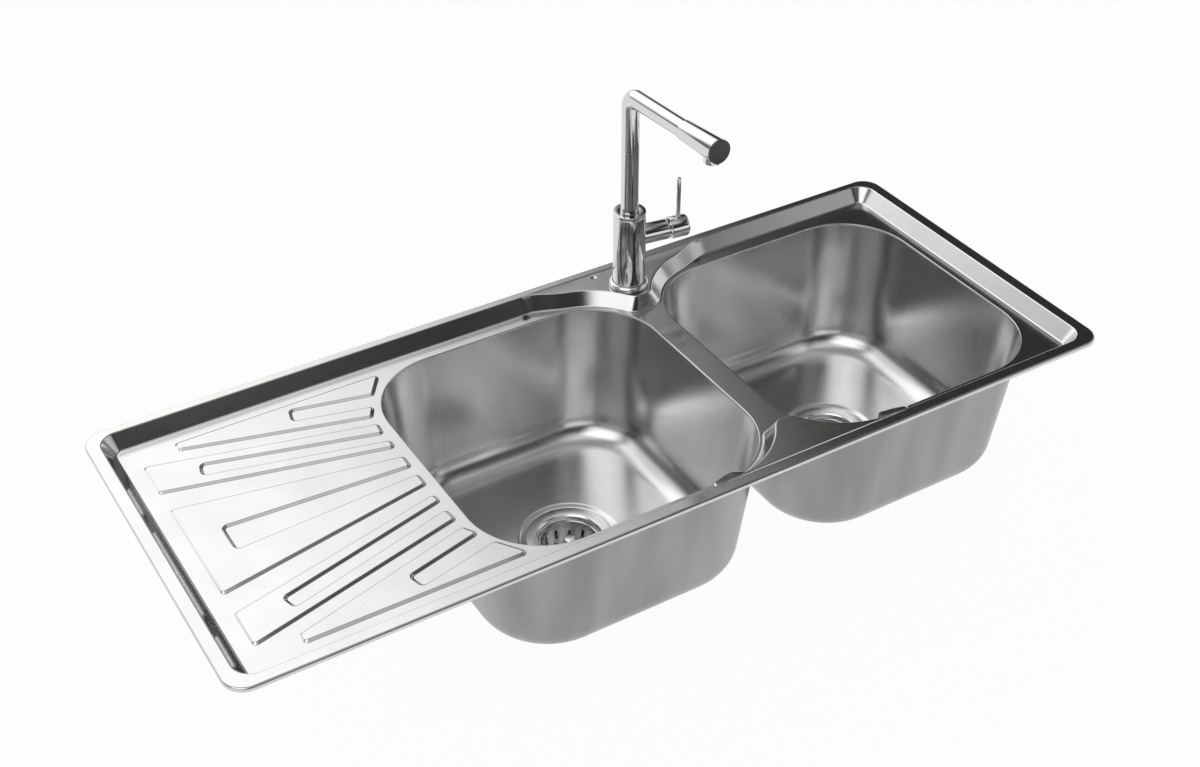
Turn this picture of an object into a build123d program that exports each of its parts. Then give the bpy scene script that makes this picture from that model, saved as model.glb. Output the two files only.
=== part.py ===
from build123d import *
import os
from math import atan, cos, radians, sin, tan

os.makedirs("parts", exist_ok=True)

# Double bowl kitchen sink with its mixer tap and basket wastes, in millimetres.
# X runs along the worktop, Y to the back, Z up. Z = 0 is the top of the rim,
# and the origin is the middle of the rim's rectangle.

# --- the pressed top ---
sink_length = 1180.0
sink_corner = 27.0
sheet = 1.0
rim_edge_radius = 3.0
rim_lip = 5.0
flange_left = 16.0
flange_right = 18.0
flange_back = 12.0
flange_front = 16.0
recess_depth = 19.0
wall_run = 14.5
recess_corner = 24.0
seal_inset = 3.0
seal_width = 6.0

# --- the bowls ---
bowl_length = 381.0
bowl_width = 396.0
bowl_corner = 97.0
bowl_bridge = 35.0
gap_right = 16.0
gap_back = 19.5
gap_front = 7.5
bowl_depth = 195.0
bowl_draft = 5.0
floor_corner = 95.0
floor_fillet = 40.0
bowl_flange = 6.0
seat_radius = 60.0
seat_slope = 4.0
seat_depth = 2.5
drain_radius = 45.0

# --- the two raised ledges between the bowls ---
ledge_drop = 1.5
ledge_gap = 6.0
ledge_run = 12.5
ledge_tip_set = 42.0
ledge_tip_run = 8.0
ledge_beyond = 13.5
ledge_overlap = 3.0
tap_hole_radius = 17.5
dimple_left = 32.0
dimple_back = 37.0
dimple_radius = 5.0
dimple_depth = 1.0

# --- the drainer's raised hairpins, seen from above ---
# Each point is a distance from the left wall's foot along a field that ends at the left bowl's
# edge, with its y counted from the middle line, or on the wall ribs inwards from the long wall's
# foot. A longer or shorter drainer stretches the field along X.
rib_field = 304.0
rib_rise = 2.5
rib_round = 3.5
middle_rib = [
    (20.5, 81), (289.5, 30), (289.5, 8), (61.5, 20.5),
    (61.5, -20.5), (289.5, -8), (289.5, -30), (20.5, -81),
]
side_rib = [
    (20.5, 170), (290.5, 102), (288.5, 81), (80.5, 138),
    (75.5, 120), (289.5, 65), (288.5, 50), (20.5, 114),
]
wall_rib = [
    (67.5, 18.5), (335.5, 18.5), (310.5, 54.5), (210.5, 31.5),
    (205.5, 51.5), (301.5, 75.5), (290.5, 94.5), (67.5, 33.5),
]

# --- the basket wastes ---
flange_radius = 57.0
flange_thick = 2.0
cup_radius = 43.0
cup_wall = 2.5
cup_depth = 46.0
cup_floor = 2.5
outlet_radius = 23.9
outlet_wall = 3.9
outlet_length = 28.0
thread_gap = 0.1
top_seal_thick = 1.0
top_seal_inset = 0.5
gasket_thick = 3.0
gasket_radius = 58.0
slip_ring_thick = 1.2
lock_nut_height = 12.0
lock_nut_radius = 52.0
lug_count = 6
lug_reach = 6.0
lug_width = 12.0
spider_drop = 47.0
spider_height = 3.0
spider_bar = 3.0
spider_ring = 5.0
basket_gap = 0.6
basket_wall = 0.8
basket_top = 8.0
basket_lip = 1.5
basket_taper = 6.0
stopper_thick = 4.0
stopper_radius = 24.0
stopper_bevel = 1.5
seat_clearance = 0.3
knob_radius = 8.0
knob_height = 5.0
knob_bevel = 1.5
knob_drop = 3.0
stem_radius = 3.0
stem_tip_radius = 2.4
running_gap = 0.1
clip_radius = 5.5
clip_thick = 1.2
sieve_hole = 2.0
sieve_ring = 28.0
sieve_holes = 20
side_slots = 12
side_slot_width = 4.0
side_slot_height = 12.0

# --- the tap ---
tap_left = 3.0
tap_set = 11.0
valve_angle = -8.0
spout_angle = -86.0
body_radius = 21.6
body_top = 107.4
base_gasket_thick = 1.0
base_gasket_radius = 24.0
base_ring_radius = 26.0
base_ring_height = 7.0
base_ring_chamfer = 2.5
shank_radius = 16.3
shank_wall = 2.5
shank_drop = 60.0
shank_socket = 14.0
washer_radius = 22.5
rubber_washer_thick = 3.0
steel_washer_thick = 2.0
shank_nut_height = 8.5
shank_nut_flats = 38.0
inlet_radius = 4.5
inlet_length = 12.0
inlet_spread = 6.0
inlet_shift = 6.0
channel_radius = 3.0
chamber_radius = 4.0
valve_height = 72.0
port_radius = 1.6
port_spread = 4.0
port_rise = 2.6
port_drop = 3.2

# --- the spout and its swivel, heights above the rim ---
spout_radius = 11.75
spout_wall = 1.5
spout_height = 277.0
spout_bend = 14.0
spout_reach = 128.0
sleeve_start = 108.0
sleeve_end = 173.0
sleeve_thin = 13.2
sleeve_thick = 15.2
sleeve_bevel = 1.0
end_cap_thick = 4.0
end_cap_spigot = 5.0
nozzle_reach = 162.5
nozzle_radius = 10.5
nozzle_drop = 19.0
nozzle_wall = 1.5
nozzle_length = 12.0
insert_inset = 0.6
insert_height = 7.0
insert_hole = 0.7
insert_pitch = 2.2
aerator_seal_thick = 1.5
aerator_seal_width = 2.0
seal_bore_floor = 83.0
seal_bore_radius = 13.0
upper_bore_floor = 96.0
upper_bore_radius = 18.0
foot_bore = 8.0
socket_floor = 94.0
collar_radius = 16.5
collar_height = 3.4
slip_height = 1.5
bush_height = 3.9
ring_nut_head = 4.5
o_ring_section = 1.0
o_ring_heights = [86.1, 91.1]
close_gap = 0.05

# --- the side valve and its lever, lengths out from the tap's axis ---
boss_radius = 13.9
boss_end = 52.0
cartridge_start = 24.0
cartridge_bore = 11.5
cartridge_seal_thick = 1.5
cartridge_radius = 11.3
cartridge_wall = 1.7
cartridge_base = 2.0
cartridge_end = 47.0
fixed_disc_thick = 3.0
moving_disc_thick = 4.5
moving_disc_radius = 7.6
moving_disc_flat = 7.0
mixing_top = 2.25
mixing_bottom = 5.15
mixing_wide = 5.5
mixing_narrow = 2.2
mixing_depth = 1.0
turret_bore = 6.8
turret_gap = 0.1
pivot_reach = 44.0
pivot_pin_radius = 1.2
spindle_radius = 2.9
spindle_end = 67.5
spindle_step = 38.0
spindle_neck = 1.6
ball_radius = 2.3
ball_arm = 9.4
ball_clearance = 0.6
lift_angle = 20.0
cartridge_nut_thick = 2.9
cartridge_nut_bore = 8.0
dome_bore = 8.2
dome_flange = 1.2
dome_reach = 55.4
dome_end_radius = 10.0
hood_start = 57.5
hood_end = 83.0
hood_radius = 15.0
hood_wall = 2.4
hood_pocket = 4.5
hood_socket = 68.0
hood_round = 4.0
lever_reach = 70.0
lever_radius = 3.0
lever_root = 6.5
lever_top = 144.3
lever_round = 1.0
grub_radius = 2.0
grub_reach = 65.0
grub_length = 7.0

# --- worked out from the sizes above ---
sink_width = flange_front + gap_front + bowl_width + gap_back + flange_back + 2 * wall_run
recess_length = sink_length - flange_left - flange_right
recess_width = sink_width - flange_back - flange_front
recess_x = (flange_left - flange_right) / 2
recess_y = (flange_front - flange_back) / 2
left_foot = recess_x - recess_length / 2 + wall_run
long_foot = recess_width / 2 - wall_run
right_bowl_x = recess_x + recess_length / 2 - wall_run - gap_right - bowl_length / 2
left_bowl_x = right_bowl_x - bowl_length - bowl_bridge
bridge_x = (left_bowl_x + right_bowl_x) / 2
bowl_y = recess_y - long_foot + gap_front + bowl_width / 2
tap_x = bridge_x - tap_left
tap_y = bowl_y + bowl_width / 2 - tap_set
ledge_half = bowl_bridge / 2 + bowl_corner + ledge_beyond
ledge_tip = bowl_width / 2 - ledge_tip_set
rib_stretch = (left_bowl_x - bowl_length / 2 - left_foot) / rib_field
skin_spread = sheet * tan(atan(recess_depth / wall_run) / 2)
deck_under = -recess_depth - sheet
floor_height = -recess_depth - bowl_depth
floor_inset = bowl_depth * tan(radians(bowl_draft))
ledge_top = -ledge_drop
block_depth = 3 * recess_depth
through = 4 * recess_depth

bowls = {"left": left_bowl_x, "right": right_bowl_x}
pieces = {}


def ledge(side, drop, spread):
    """One ledge as a solid: a tapered block less a cone around each bowl's corner."""
    slope = ledge_run / (recess_depth - ledge_drop)
    corner_y = bowl_y + side * (bowl_width / 2 - bowl_corner)
    wall_y = recess_y + side * recess_width / 2
    foot = bowl_corner + ledge_gap + spread
    with BuildPart() as block:
        for z, run in ((ledge_top - drop, 0), (-recess_depth - drop, 1)):
            tip_y = bowl_y + side * (ledge_tip - run * ledge_tip_run + spread)
            back_y = wall_y + side * (ledge_overlap - run * wall_run)
            length = 2 * (ledge_half + run * wall_run - spread)
            with BuildSketch(Plane.XY.offset(z)):
                with Locations((bridge_x, (tip_y + back_y) / 2)):
                    Rectangle(length, abs(back_y - tip_y))
        loft(ruled=True)
        for away in (-1, 1):
            x = bridge_x + away * (bowl_bridge / 2 + bowl_corner)
            with Locations((x, corner_y, -recess_depth - drop - 1)):
                Cone(
                    bottom_radius=foot - slope,
                    top_radius=foot + slope * (recess_depth - ledge_drop + 1),
                    height=recess_depth - ledge_drop + 2,
                    align=(Align.CENTER, Align.CENTER, Align.MIN),
                    mode=Mode.SUBTRACT,
                )
    return block.part


def hairpin(outline, side, drop, spread):
    """One raised hairpin of the drainer, with sloping sides."""
    points = []
    for away, y in outline:
        if outline is wall_rib:
            y = long_foot - y
        points.append((left_foot + away * rib_stretch, side * y))
    with BuildPart() as rib:
        with BuildSketch(Plane.XY.offset(-recess_depth - drop)) as shape:
            with BuildLine():
                Polyline(*points, close=True)
            make_face()
            fillet(shape.vertices(), rib_round)
            offset(amount=-spread)
        extrude(amount=rib_rise, taper=45)
    return rib.part


def pressing(drop, spread, inset):
    """All that lies under one face of the sheet: its upper face, or with a drop its lower one."""
    with BuildPart() as block:
        with BuildSketch(Plane.XY.offset(-drop)):
            RectangleRounded(sink_length - 2 * inset, sink_width - 2 * inset, sink_corner - inset)
        extrude(amount=-block_depth)
        fillet(block.faces().sort_by(Axis.Z)[-1].edges(), rim_edge_radius - inset)
        grown = 2 * spread
        for z, run in ((-drop, 0), (-recess_depth - drop, wall_run)):
            with BuildSketch(Plane.XY.offset(z)):
                with Locations((recess_x, recess_y)):
                    RectangleRounded(
                        recess_length - 2 * run + grown,
                        recess_width - 2 * run + grown,
                        recess_corner - run + spread,
                    )
        loft(ruled=True, mode=Mode.SUBTRACT)
        for side in (1, -1):
            add(ledge(side, drop, spread))
            add(hairpin(side_rib, side, drop, spread))
            add(hairpin(wall_rib, side, drop, spread))
        add(hairpin(middle_rib, 1, drop, spread))
        dimple_z = ledge_top - dimple_depth + dimple_radius
        with Locations((tap_x - dimple_left, tap_y + dimple_back, dimple_z)):
            Sphere(dimple_radius + drop, mode=Mode.SUBTRACT)
    return block.part


# The top: one pressed sheet with its rolled rim, recess, drainer and two ledges.
with BuildPart() as sink_top:
    add(pressing(0, 0, 0))
    add(pressing(sheet, skin_spread, sheet), mode=Mode.SUBTRACT)
    # below the rolled lip nothing is left of the block outside the recess
    with BuildSketch(Plane.XY.offset(-rim_lip)):
        Rectangle(2 * sink_length, 2 * sink_width)
        with Locations((recess_x, recess_y)):
            RectangleRounded(recess_length, recess_width, recess_corner, mode=Mode.SUBTRACT)
    extrude(amount=-2 * block_depth, mode=Mode.SUBTRACT)
    # the bowls' openings and the tap hole
    for x in bowls.values():
        with BuildSketch(Plane.XY.offset(-recess_depth - through)):
            with Locations((x, bowl_y)):
                RectangleRounded(bowl_length, bowl_width, bowl_corner)
        extrude(amount=2 * through, mode=Mode.SUBTRACT)
    with Locations((tap_x, tap_y, 0)):
        Cylinder(tap_hole_radius, through, mode=Mode.SUBTRACT)
pieces["sink_top"] = sink_top

# The strip of foam rubber between the rim and the worktop.
with BuildPart() as rim_seal:
    with BuildSketch(Plane.XY.offset(-sheet)):
        for run, mode in ((seal_inset, Mode.ADD), (seal_inset + seal_width, Mode.SUBTRACT)):
            RectangleRounded(sink_length - 2 * run, sink_width - 2 * run, sink_corner - run, mode=mode)
    extrude(amount=sheet - rim_lip)
pieces["rim_seal"] = rim_seal


def bowl_body(x, grown):
    """A bowl's inside as a solid, or with the sheet's thickness added, its outside."""
    floor = floor_height - grown
    with BuildPart() as body:
        for z, run, corner in ((deck_under, 0, bowl_corner), (floor, floor_inset, floor_corner)):
            with BuildSketch(Plane.XY.offset(z)):
                with Locations((x, bowl_y)):
                    RectangleRounded(
                        bowl_length - 2 * run + 2 * grown,
                        bowl_width - 2 * run + 2 * grown,
                        corner + grown,
                    )
        loft(ruled=True)
        fillet(body.faces().sort_by(Axis.Z)[0].edges(), floor_fillet + grown)
        for z, radius in ((floor, seat_radius + seat_slope), (floor - seat_depth, seat_radius)):
            with BuildSketch(Plane.XY.offset(z)):
                with Locations((x, bowl_y)):
                    Circle(radius + grown)
        loft(ruled=True)
    return body.part


# Each bowl: a drawn shell with a flange welded under the top, a seat and a drain hole.
for side, x in bowls.items():
    with BuildPart() as bowl:
        add(bowl_body(x, sheet))
        with BuildSketch(Plane.XY.offset(deck_under)):
            with Locations((x, bowl_y)):
                RectangleRounded(
                    bowl_length + 2 * bowl_flange,
                    bowl_width + 2 * bowl_flange,
                    bowl_corner + bowl_flange,
                )
        extrude(amount=-sheet)
        add(bowl_body(x, 0), mode=Mode.SUBTRACT)
        with BuildSketch(Plane.XY.offset(floor_height)):
            with Locations((x, bowl_y)):
                Circle(drain_radius)
        extrude(amount=-2 * seat_depth - 2 * sheet, mode=Mode.SUBTRACT)
    pieces[f"{side}_bowl"] = bowl


def turned(plane, axis, outline):
    """A turned piece: its outline in a plane that holds the axis, spun about the axis."""
    with BuildPart() as piece:
        with BuildSketch(plane):
            with BuildLine():
                Polyline(*outline, close=True)
            make_face()
        revolve(axis=axis)
    return piece


def ring(plane, axis, inner, outer, low, high):
    """A turned ring or, with no inner radius, a disc."""
    return turned(plane, axis, [(inner, low), (outer, low), (outer, high), (inner, high)])


# --- the basket wastes: heights that all their pieces share ---
seat_z = floor_height - seat_depth
cup_top = seat_z + top_seal_thick + flange_thick
cup_under_flange = cup_top - flange_thick
cup_bottom = cup_top - cup_depth
cup_floor_top = cup_bottom + cup_floor
cup_inner = cup_radius - cup_wall
cup_bore = cup_radius + thread_gap
outlet_inner = outlet_radius - outlet_wall
gasket_high = seat_z - sheet
slip_high = gasket_high - gasket_thick
nut_high = slip_high - slip_ring_thick
spider_low = cup_top - spider_drop - spider_height
stopper_low = cup_floor_top + seat_clearance
stopper_high = stopper_low + stopper_thick
basket_radius = cup_inner - basket_gap
basket_high = cup_top - basket_top
basket_shoulder = basket_radius - basket_lip
basket_foot = basket_shoulder - basket_taper
stem_bore = stem_radius + close_gap
clip_low = stopper_low - clip_thick
knob_high = cup_top - knob_drop


def waste(side, x):
    """All the pieces of one basket waste, under its bowl's name."""
    centre = (x, bowl_y)
    plane = Plane(origin=(x, bowl_y, 0), x_dir=(1, 0, 0), z_dir=(0, -1, 0))
    axis = Axis((x, bowl_y, 0), (0, 0, 1))

    # the cup that hangs in the drain hole, with its flange, its outlet and the spider across it
    with BuildPart() as cup:
        add(turned(plane, axis, [
            (flange_radius, cup_under_flange), (flange_radius, cup_top - flange_thick / 2),
            (flange_radius - flange_thick, cup_top), (cup_inner + flange_thick, cup_top),
            (cup_inner, cup_under_flange), (cup_inner, cup_floor_top),
            (outlet_inner, cup_floor_top), (outlet_inner, cup_bottom - outlet_length),
            (outlet_radius, cup_bottom - outlet_length), (outlet_radius, cup_bottom),
            (cup_radius, cup_bottom), (cup_radius, cup_under_flange),
        ]).part)
        with BuildSketch(Plane.XY.offset(spider_low)):
            with Locations(centre):
                Rectangle(outlet_inner + outlet_radius, spider_bar)
                Rectangle(spider_bar, outlet_inner + outlet_radius)
                Circle(spider_ring)
                Circle(stem_tip_radius + running_gap, mode=Mode.SUBTRACT)
        extrude(amount=spider_height)
    pieces[f"{side}_waste_cup"] = cup

    # the seals, the slip ring and the lock nut that clamp the cup to the bowl
    seal_inner = drain_radius + top_seal_inset
    seal_outer = flange_radius - top_seal_inset
    seal_high = seat_z + top_seal_thick
    pieces[f"{side}_waste_top_seal"] = ring(plane, axis, seal_inner, seal_outer, seat_z, seal_high)
    pieces[f"{side}_waste_gasket"] = ring(plane, axis, cup_bore, gasket_radius, slip_high, gasket_high)
    pieces[f"{side}_waste_slip_ring"] = ring(plane, axis, cup_bore, gasket_radius, nut_high, slip_high)
    with BuildPart() as lock_nut:
        with BuildSketch(Plane.XY.offset(nut_high)):
            with Locations(centre):
                Circle(lock_nut_radius)
                with PolarLocations(lock_nut_radius, lug_count):
                    Rectangle(2 * lug_reach, lug_width)
                Circle(cup_bore, mode=Mode.SUBTRACT)
        extrude(amount=-lock_nut_height)
    pieces[f"{side}_waste_lock_nut"] = lock_nut

    # the sieve basket: a lipped, tapered cup with holes in its floor and slots in its side
    with BuildPart() as basket:
        add(turned(plane, axis, [
            (0, stopper_high), (basket_foot, stopper_high), (basket_shoulder, basket_high - basket_wall),
            (basket_radius, basket_high - basket_wall), (basket_radius, basket_high),
            (basket_shoulder - basket_wall, basket_high),
            (basket_foot - basket_wall, stopper_high + basket_wall), (0, stopper_high + basket_wall),
        ]).part)
        with BuildSketch(Plane.XY.offset(stopper_high)):
            with Locations(centre):
                Circle(stem_bore)
                with PolarLocations(sieve_ring, sieve_holes):
                    Circle(sieve_hole)
        extrude(amount=basket_wall, mode=Mode.SUBTRACT)
        with Locations((x, bowl_y, (stopper_high + basket_high) / 2)):
            with PolarLocations(basket_shoulder, side_slots):
                Box(3 * basket_taper, side_slot_width, side_slot_height, mode=Mode.SUBTRACT)
    pieces[f"{side}_basket"] = basket

    # the stem with its knob, the rubber stopper under the basket and the clip that keeps it on
    pieces[f"{side}_basket_stem"] = turned(plane, axis, [
        (0, knob_high), (knob_radius - knob_bevel, knob_high), (knob_radius, knob_high - knob_bevel),
        (knob_radius, knob_high - knob_height), (stem_radius, knob_high - knob_height),
        (stem_radius, clip_low), (stem_tip_radius, clip_low), (stem_tip_radius, spider_low),
        (0, spider_low),
    ])
    pieces[f"{side}_basket_stopper"] = turned(plane, axis, [
        (stem_bore, stopper_low), (stopper_radius - stopper_bevel, stopper_low),
        (stopper_radius, stopper_low + stopper_bevel), (stopper_radius, stopper_high),
        (stem_bore, stopper_high),
    ])
    pieces[f"{side}_basket_clip"] = ring(plane, axis, stem_bore, clip_radius, clip_low, stopper_low)


for side, x in bowls.items():
    waste(side, x)

# --- the tap's directions, planes and axes ---
valve_x = cos(radians(valve_angle))
valve_y = sin(radians(valve_angle))
spout_x = cos(radians(spout_angle))
spout_y = sin(radians(spout_angle))
tap_axis = Axis((tap_x, tap_y, 0), (0, 0, 1))
tap_side = Plane(origin=(tap_x, tap_y, 0), x_dir=(spout_x, spout_y, 0), z_dir=(spout_y, -spout_x, 0))
arm_side = Plane(
    origin=(tap_x, tap_y, spout_height), x_dir=(spout_x, spout_y, 0), z_dir=(spout_y, -spout_x, 0)
)
arm_axis = Axis((tap_x, tap_y, spout_height), (spout_x, spout_y, 0))
valve_side = Plane(
    origin=(tap_x, tap_y, valve_height), x_dir=(valve_x, valve_y, 0), z_dir=(valve_y, -valve_x, 0)
)
valve_axis = Axis((tap_x, tap_y, valve_height), (valve_x, valve_y, 0))


def tap_level(z):
    """The level plane at one height, centred on the tap and turned to the valve's direction."""
    return Plane(origin=(tap_x, tap_y, z), x_dir=(valve_x, valve_y, 0), z_dir=(0, 0, 1))


def valve_cross(reach):
    """The plane across the valve at one reach: its x runs to the back and its y runs up."""
    origin = (tap_x + reach * valve_x, tap_y + reach * valve_y, valve_height)
    return Plane(origin=origin, x_dir=(-valve_y, valve_x, 0), z_dir=(valve_x, valve_y, 0))


def valve_ring(inner, outer, start, end):
    """A ring or a disc about the valve's axis, from one reach to another."""
    return turned(valve_side, valve_axis, [(start, inner), (end, inner), (end, outer), (start, outer)])


def cross_hole(reach, radius, length):
    """A level bar across the valve, for the pivot pin and the holes that it passes."""
    side = valve_side.offset(-length / 2)
    with BuildPart() as bar:
        with BuildSketch(side):
            with Locations((reach, 0)):
                Circle(radius)
        extrude(amount=length)
    return bar


inlet_ports = [(-port_spread, port_rise), (port_spread, port_rise)]
outlet_port = [(0, -port_drop)]


def ports(places, start, end):
    """The valve's water ways at some places, bored from one reach to another."""
    with BuildPart() as holes:
        with BuildSketch(valve_cross(start)):
            with Locations(*places):
                Circle(port_radius)
        extrude(amount=end - start)
    return holes.part


# --- the tap's body and what holds it to the back ledge ---
body_low = ledge_top + base_gasket_thick
pieces["tap_base_gasket"] = ring(
    tap_side, tap_axis, tap_hole_radius, base_gasket_radius, ledge_top, body_low
)

ring_high = body_low + base_ring_height
pieces["tap_base_ring"] = turned(tap_side, tap_axis, [
    (body_radius + thread_gap, body_low), (base_ring_radius, body_low),
    (base_ring_radius, ring_high - base_ring_chamfer), (base_ring_radius - base_ring_chamfer, ring_high),
    (body_radius + thread_gap, ring_high),
])

# The body is one casting: an upright barrel with the valve's boss on its side.
shank_bore = shank_radius + thread_gap
inlet_high = shank_socket + inlet_length
channel_high = valve_height + port_rise + 2 * port_radius
chamber_floor = valve_height - port_drop - channel_radius
with BuildPart() as tap_body:
    add(ring(tap_side, tap_axis, 0, body_radius, body_low, body_top).part)
    add(valve_ring(0, boss_radius, 0, boss_end).part)
    for radius, low, high in (
        (shank_bore, body_low, shank_socket),
        (chamber_radius, chamber_floor, seal_bore_floor),
        (seal_bore_radius, seal_bore_floor, upper_bore_floor),
        (upper_bore_radius, upper_bore_floor, body_top),
    ):
        add(ring(tap_side, tap_axis, 0, radius, low, high).part, mode=Mode.SUBTRACT)
    # two threaded inlets, each with a channel up to its port
    for radius, high in ((inlet_radius, inlet_high), (channel_radius, channel_high)):
        with BuildSketch(tap_level(shank_socket)):
            with Locations((inlet_shift, inlet_spread), (inlet_shift, -inlet_spread)):
                Circle(radius)
        extrude(amount=high - shank_socket, mode=Mode.SUBTRACT)
    add(ports(inlet_ports, inlet_shift, cartridge_start), mode=Mode.SUBTRACT)
    add(ports(outlet_port, 0, cartridge_start), mode=Mode.SUBTRACT)
    add(valve_ring(0, cartridge_bore, cartridge_start, boss_end).part, mode=Mode.SUBTRACT)
pieces["tap_body"] = tap_body

# Under the ledge: a hollow threaded shank, two washers and a hexagon nut.
shank_low = ledge_top - shank_drop
shank_inner = shank_radius - shank_wall
washer_high = ledge_top - sheet
plate_high = washer_high - rubber_washer_thick
plate_low = plate_high - steel_washer_thick
pieces["tap_shank"] = ring(tap_side, tap_axis, shank_inner, shank_radius, shank_low, shank_socket)
for name, low, high in (("rubber", plate_high, washer_high), ("steel", plate_low, plate_high)):
    pieces[f"shank_{name}_washer"] = ring(tap_side, tap_axis, shank_bore, washer_radius, low, high)
with BuildPart() as shank_nut:
    with BuildSketch(tap_level(plate_low)):
        RegularPolygon(shank_nut_flats / 2, 6, major_radius=False)
        Circle(shank_bore, mode=Mode.SUBTRACT)
    extrude(amount=-shank_nut_height)
pieces["shank_nut"] = shank_nut

# --- the spout's swivel, from the bottom up ---
foot_low = seal_bore_floor + close_gap
foot_radius = seal_bore_radius - running_gap
foot_socket = spout_radius + close_gap
slip_top = upper_bore_floor + slip_height
collar_low = slip_top + close_gap
collar_top = collar_low + collar_height
bush_low = collar_top + close_gap
bush_top = bush_low + bush_height
groove_half = o_ring_section + close_gap
groove_root = foot_radius - 2 * groove_half
with BuildPart() as spout_foot:
    add(turned(tap_side, tap_axis, [
        (foot_bore, foot_low), (foot_radius, foot_low), (foot_radius, collar_low),
        (collar_radius, collar_low), (collar_radius, collar_top), (foot_socket, collar_top),
        (foot_socket, socket_floor), (foot_bore, socket_floor),
    ]).part)
    for z in o_ring_heights:
        low, high = z - groove_half, z + groove_half
        add(ring(tap_side, tap_axis, groove_root, seal_bore_radius, low, high).part, mode=Mode.SUBTRACT)
pieces["spout_foot"] = spout_foot
for name, z in zip(("lower", "upper"), o_ring_heights):
    with BuildPart() as o_ring:
        with BuildSketch(tap_side):
            with Locations((groove_root + groove_half, z)):
                Circle(o_ring_section)
        revolve(axis=tap_axis)
    pieces[f"spout_{name}_o_ring"] = o_ring

# A slip ring under the foot's collar, a bush over it and the ring nut that holds both down.
swivel_bore = spout_radius + running_gap
swivel_outer = upper_bore_radius - running_gap
pieces["spout_slip_ring"] = ring(
    tap_side, tap_axis, seal_bore_radius, swivel_outer, upper_bore_floor, slip_top
)
pieces["spout_bush"] = ring(tap_side, tap_axis, swivel_bore, swivel_outer, bush_low, bush_top)
pieces["spout_ring_nut"] = turned(tap_side, tap_axis, [
    (swivel_bore, bush_top), (swivel_outer, bush_top), (swivel_outer, body_top),
    (body_radius, body_top), (body_radius, body_top + ring_nut_head),
    (swivel_bore, body_top + ring_nut_head),
])

# --- the spout: one bent tube with the outlet sleeve on its end ---
with BuildPart() as spout_tube:
    bend = (0, spout_height)
    with BuildLine(tap_side):
        FilletPolyline((0, socket_floor), bend, (spout_reach, spout_height), radius=spout_bend)
    with BuildSketch(tap_level(socket_floor)):
        Circle(spout_radius)
        Circle(spout_radius - spout_wall, mode=Mode.SUBTRACT)
    sweep()
pieces["spout_tube"] = spout_tube

nozzle_x = tap_x + nozzle_reach * spout_x
nozzle_y = tap_y + nozzle_reach * spout_y
nozzle_low = spout_height - nozzle_drop
nozzle_side = Plane(origin=(nozzle_x, nozzle_y, nozzle_low), x_dir=(1, 0, 0), z_dir=(0, -1, 0))
nozzle_axis = Axis((nozzle_x, nozzle_y, nozzle_low), (0, 0, 1))
nozzle_hole = ring(
    nozzle_side, nozzle_axis, 0, nozzle_radius + close_gap, 0, nozzle_length + close_gap
).part

with BuildPart() as spout_sleeve:
    add(turned(arm_side, arm_axis, [
        (sleeve_start, foot_socket), (sleeve_end, foot_socket), (sleeve_end, sleeve_thick),
        (sleeve_start + sleeve_bevel, sleeve_thin), (sleeve_start, sleeve_thin - sleeve_bevel),
    ]).part)
    add(nozzle_hole, mode=Mode.SUBTRACT)
pieces["spout_sleeve"] = spout_sleeve
with BuildPart() as spout_end_cap:
    add(turned(arm_side, arm_axis, [
        (sleeve_end - end_cap_spigot, 0), (sleeve_end + end_cap_thick, 0),
        (sleeve_end + end_cap_thick, sleeve_thick), (sleeve_end, sleeve_thick),
        (sleeve_end, spout_radius), (sleeve_end - end_cap_spigot, spout_radius),
    ]).part)
    add(nozzle_hole, mode=Mode.SUBTRACT)
pieces["spout_end_cap"] = spout_end_cap

# The aerator: a housing in the sleeve's underside, a seal and a sieve insert.
insert_radius = nozzle_radius - nozzle_wall - close_gap
insert_high = insert_inset + insert_height
seal_high = insert_high + aerator_seal_thick
pieces["aerator_housing"] = turned(nozzle_side, nozzle_axis, [
    (nozzle_radius - nozzle_wall, 0), (nozzle_radius, 0), (nozzle_radius, nozzle_length),
    (insert_radius - aerator_seal_width, nozzle_length), (insert_radius - aerator_seal_width, seal_high),
    (nozzle_radius - nozzle_wall, seal_high),
])
pieces["aerator_seal"] = ring(
    nozzle_side, nozzle_axis, insert_radius - aerator_seal_width, insert_radius, insert_high, seal_high
)
with BuildPart() as aerator_insert:
    with BuildSketch(Plane(nozzle_side.origin).offset(insert_inset)):
        Circle(insert_radius)
    extrude(amount=insert_height)
    with BuildSketch(Plane(nozzle_side.origin).offset(insert_inset)):
        with HexLocations(insert_pitch / 2, 5, 5):
            Circle(insert_hole)
    extrude(amount=insert_height, mode=Mode.SUBTRACT)
pieces["aerator_insert"] = aerator_insert

# --- the side valve's ceramic cartridge, from the inside out ---
seal_end = cartridge_start + cartridge_seal_thick
base_end = seal_end + cartridge_base
fixed_end = base_end + fixed_disc_thick
moving_start = fixed_end + close_gap
moving_end = moving_start + moving_disc_thick
turret_start = moving_end + turret_gap
turret_end = cartridge_end - turret_gap
cartridge_inner = cartridge_radius - cartridge_wall
turret_radius = cartridge_inner - turret_gap
ball_reach = pivot_reach - ball_arm
disc_travel = ball_arm * sin(radians(lift_angle))
all_ports = inlet_ports + outlet_port

with BuildPart() as cartridge_seal:
    add(valve_ring(0, cartridge_radius, cartridge_start, seal_end).part)
    add(ports(all_ports, cartridge_start, seal_end), mode=Mode.SUBTRACT)
pieces["cartridge_seal"] = cartridge_seal

with BuildPart() as cartridge_body:
    add(valve_ring(0, cartridge_radius, seal_end, cartridge_end).part)
    add(valve_ring(0, cartridge_inner, base_end, cartridge_end).part, mode=Mode.SUBTRACT)
    add(ports(all_ports, seal_end, base_end), mode=Mode.SUBTRACT)
pieces["cartridge_body"] = cartridge_body

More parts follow.
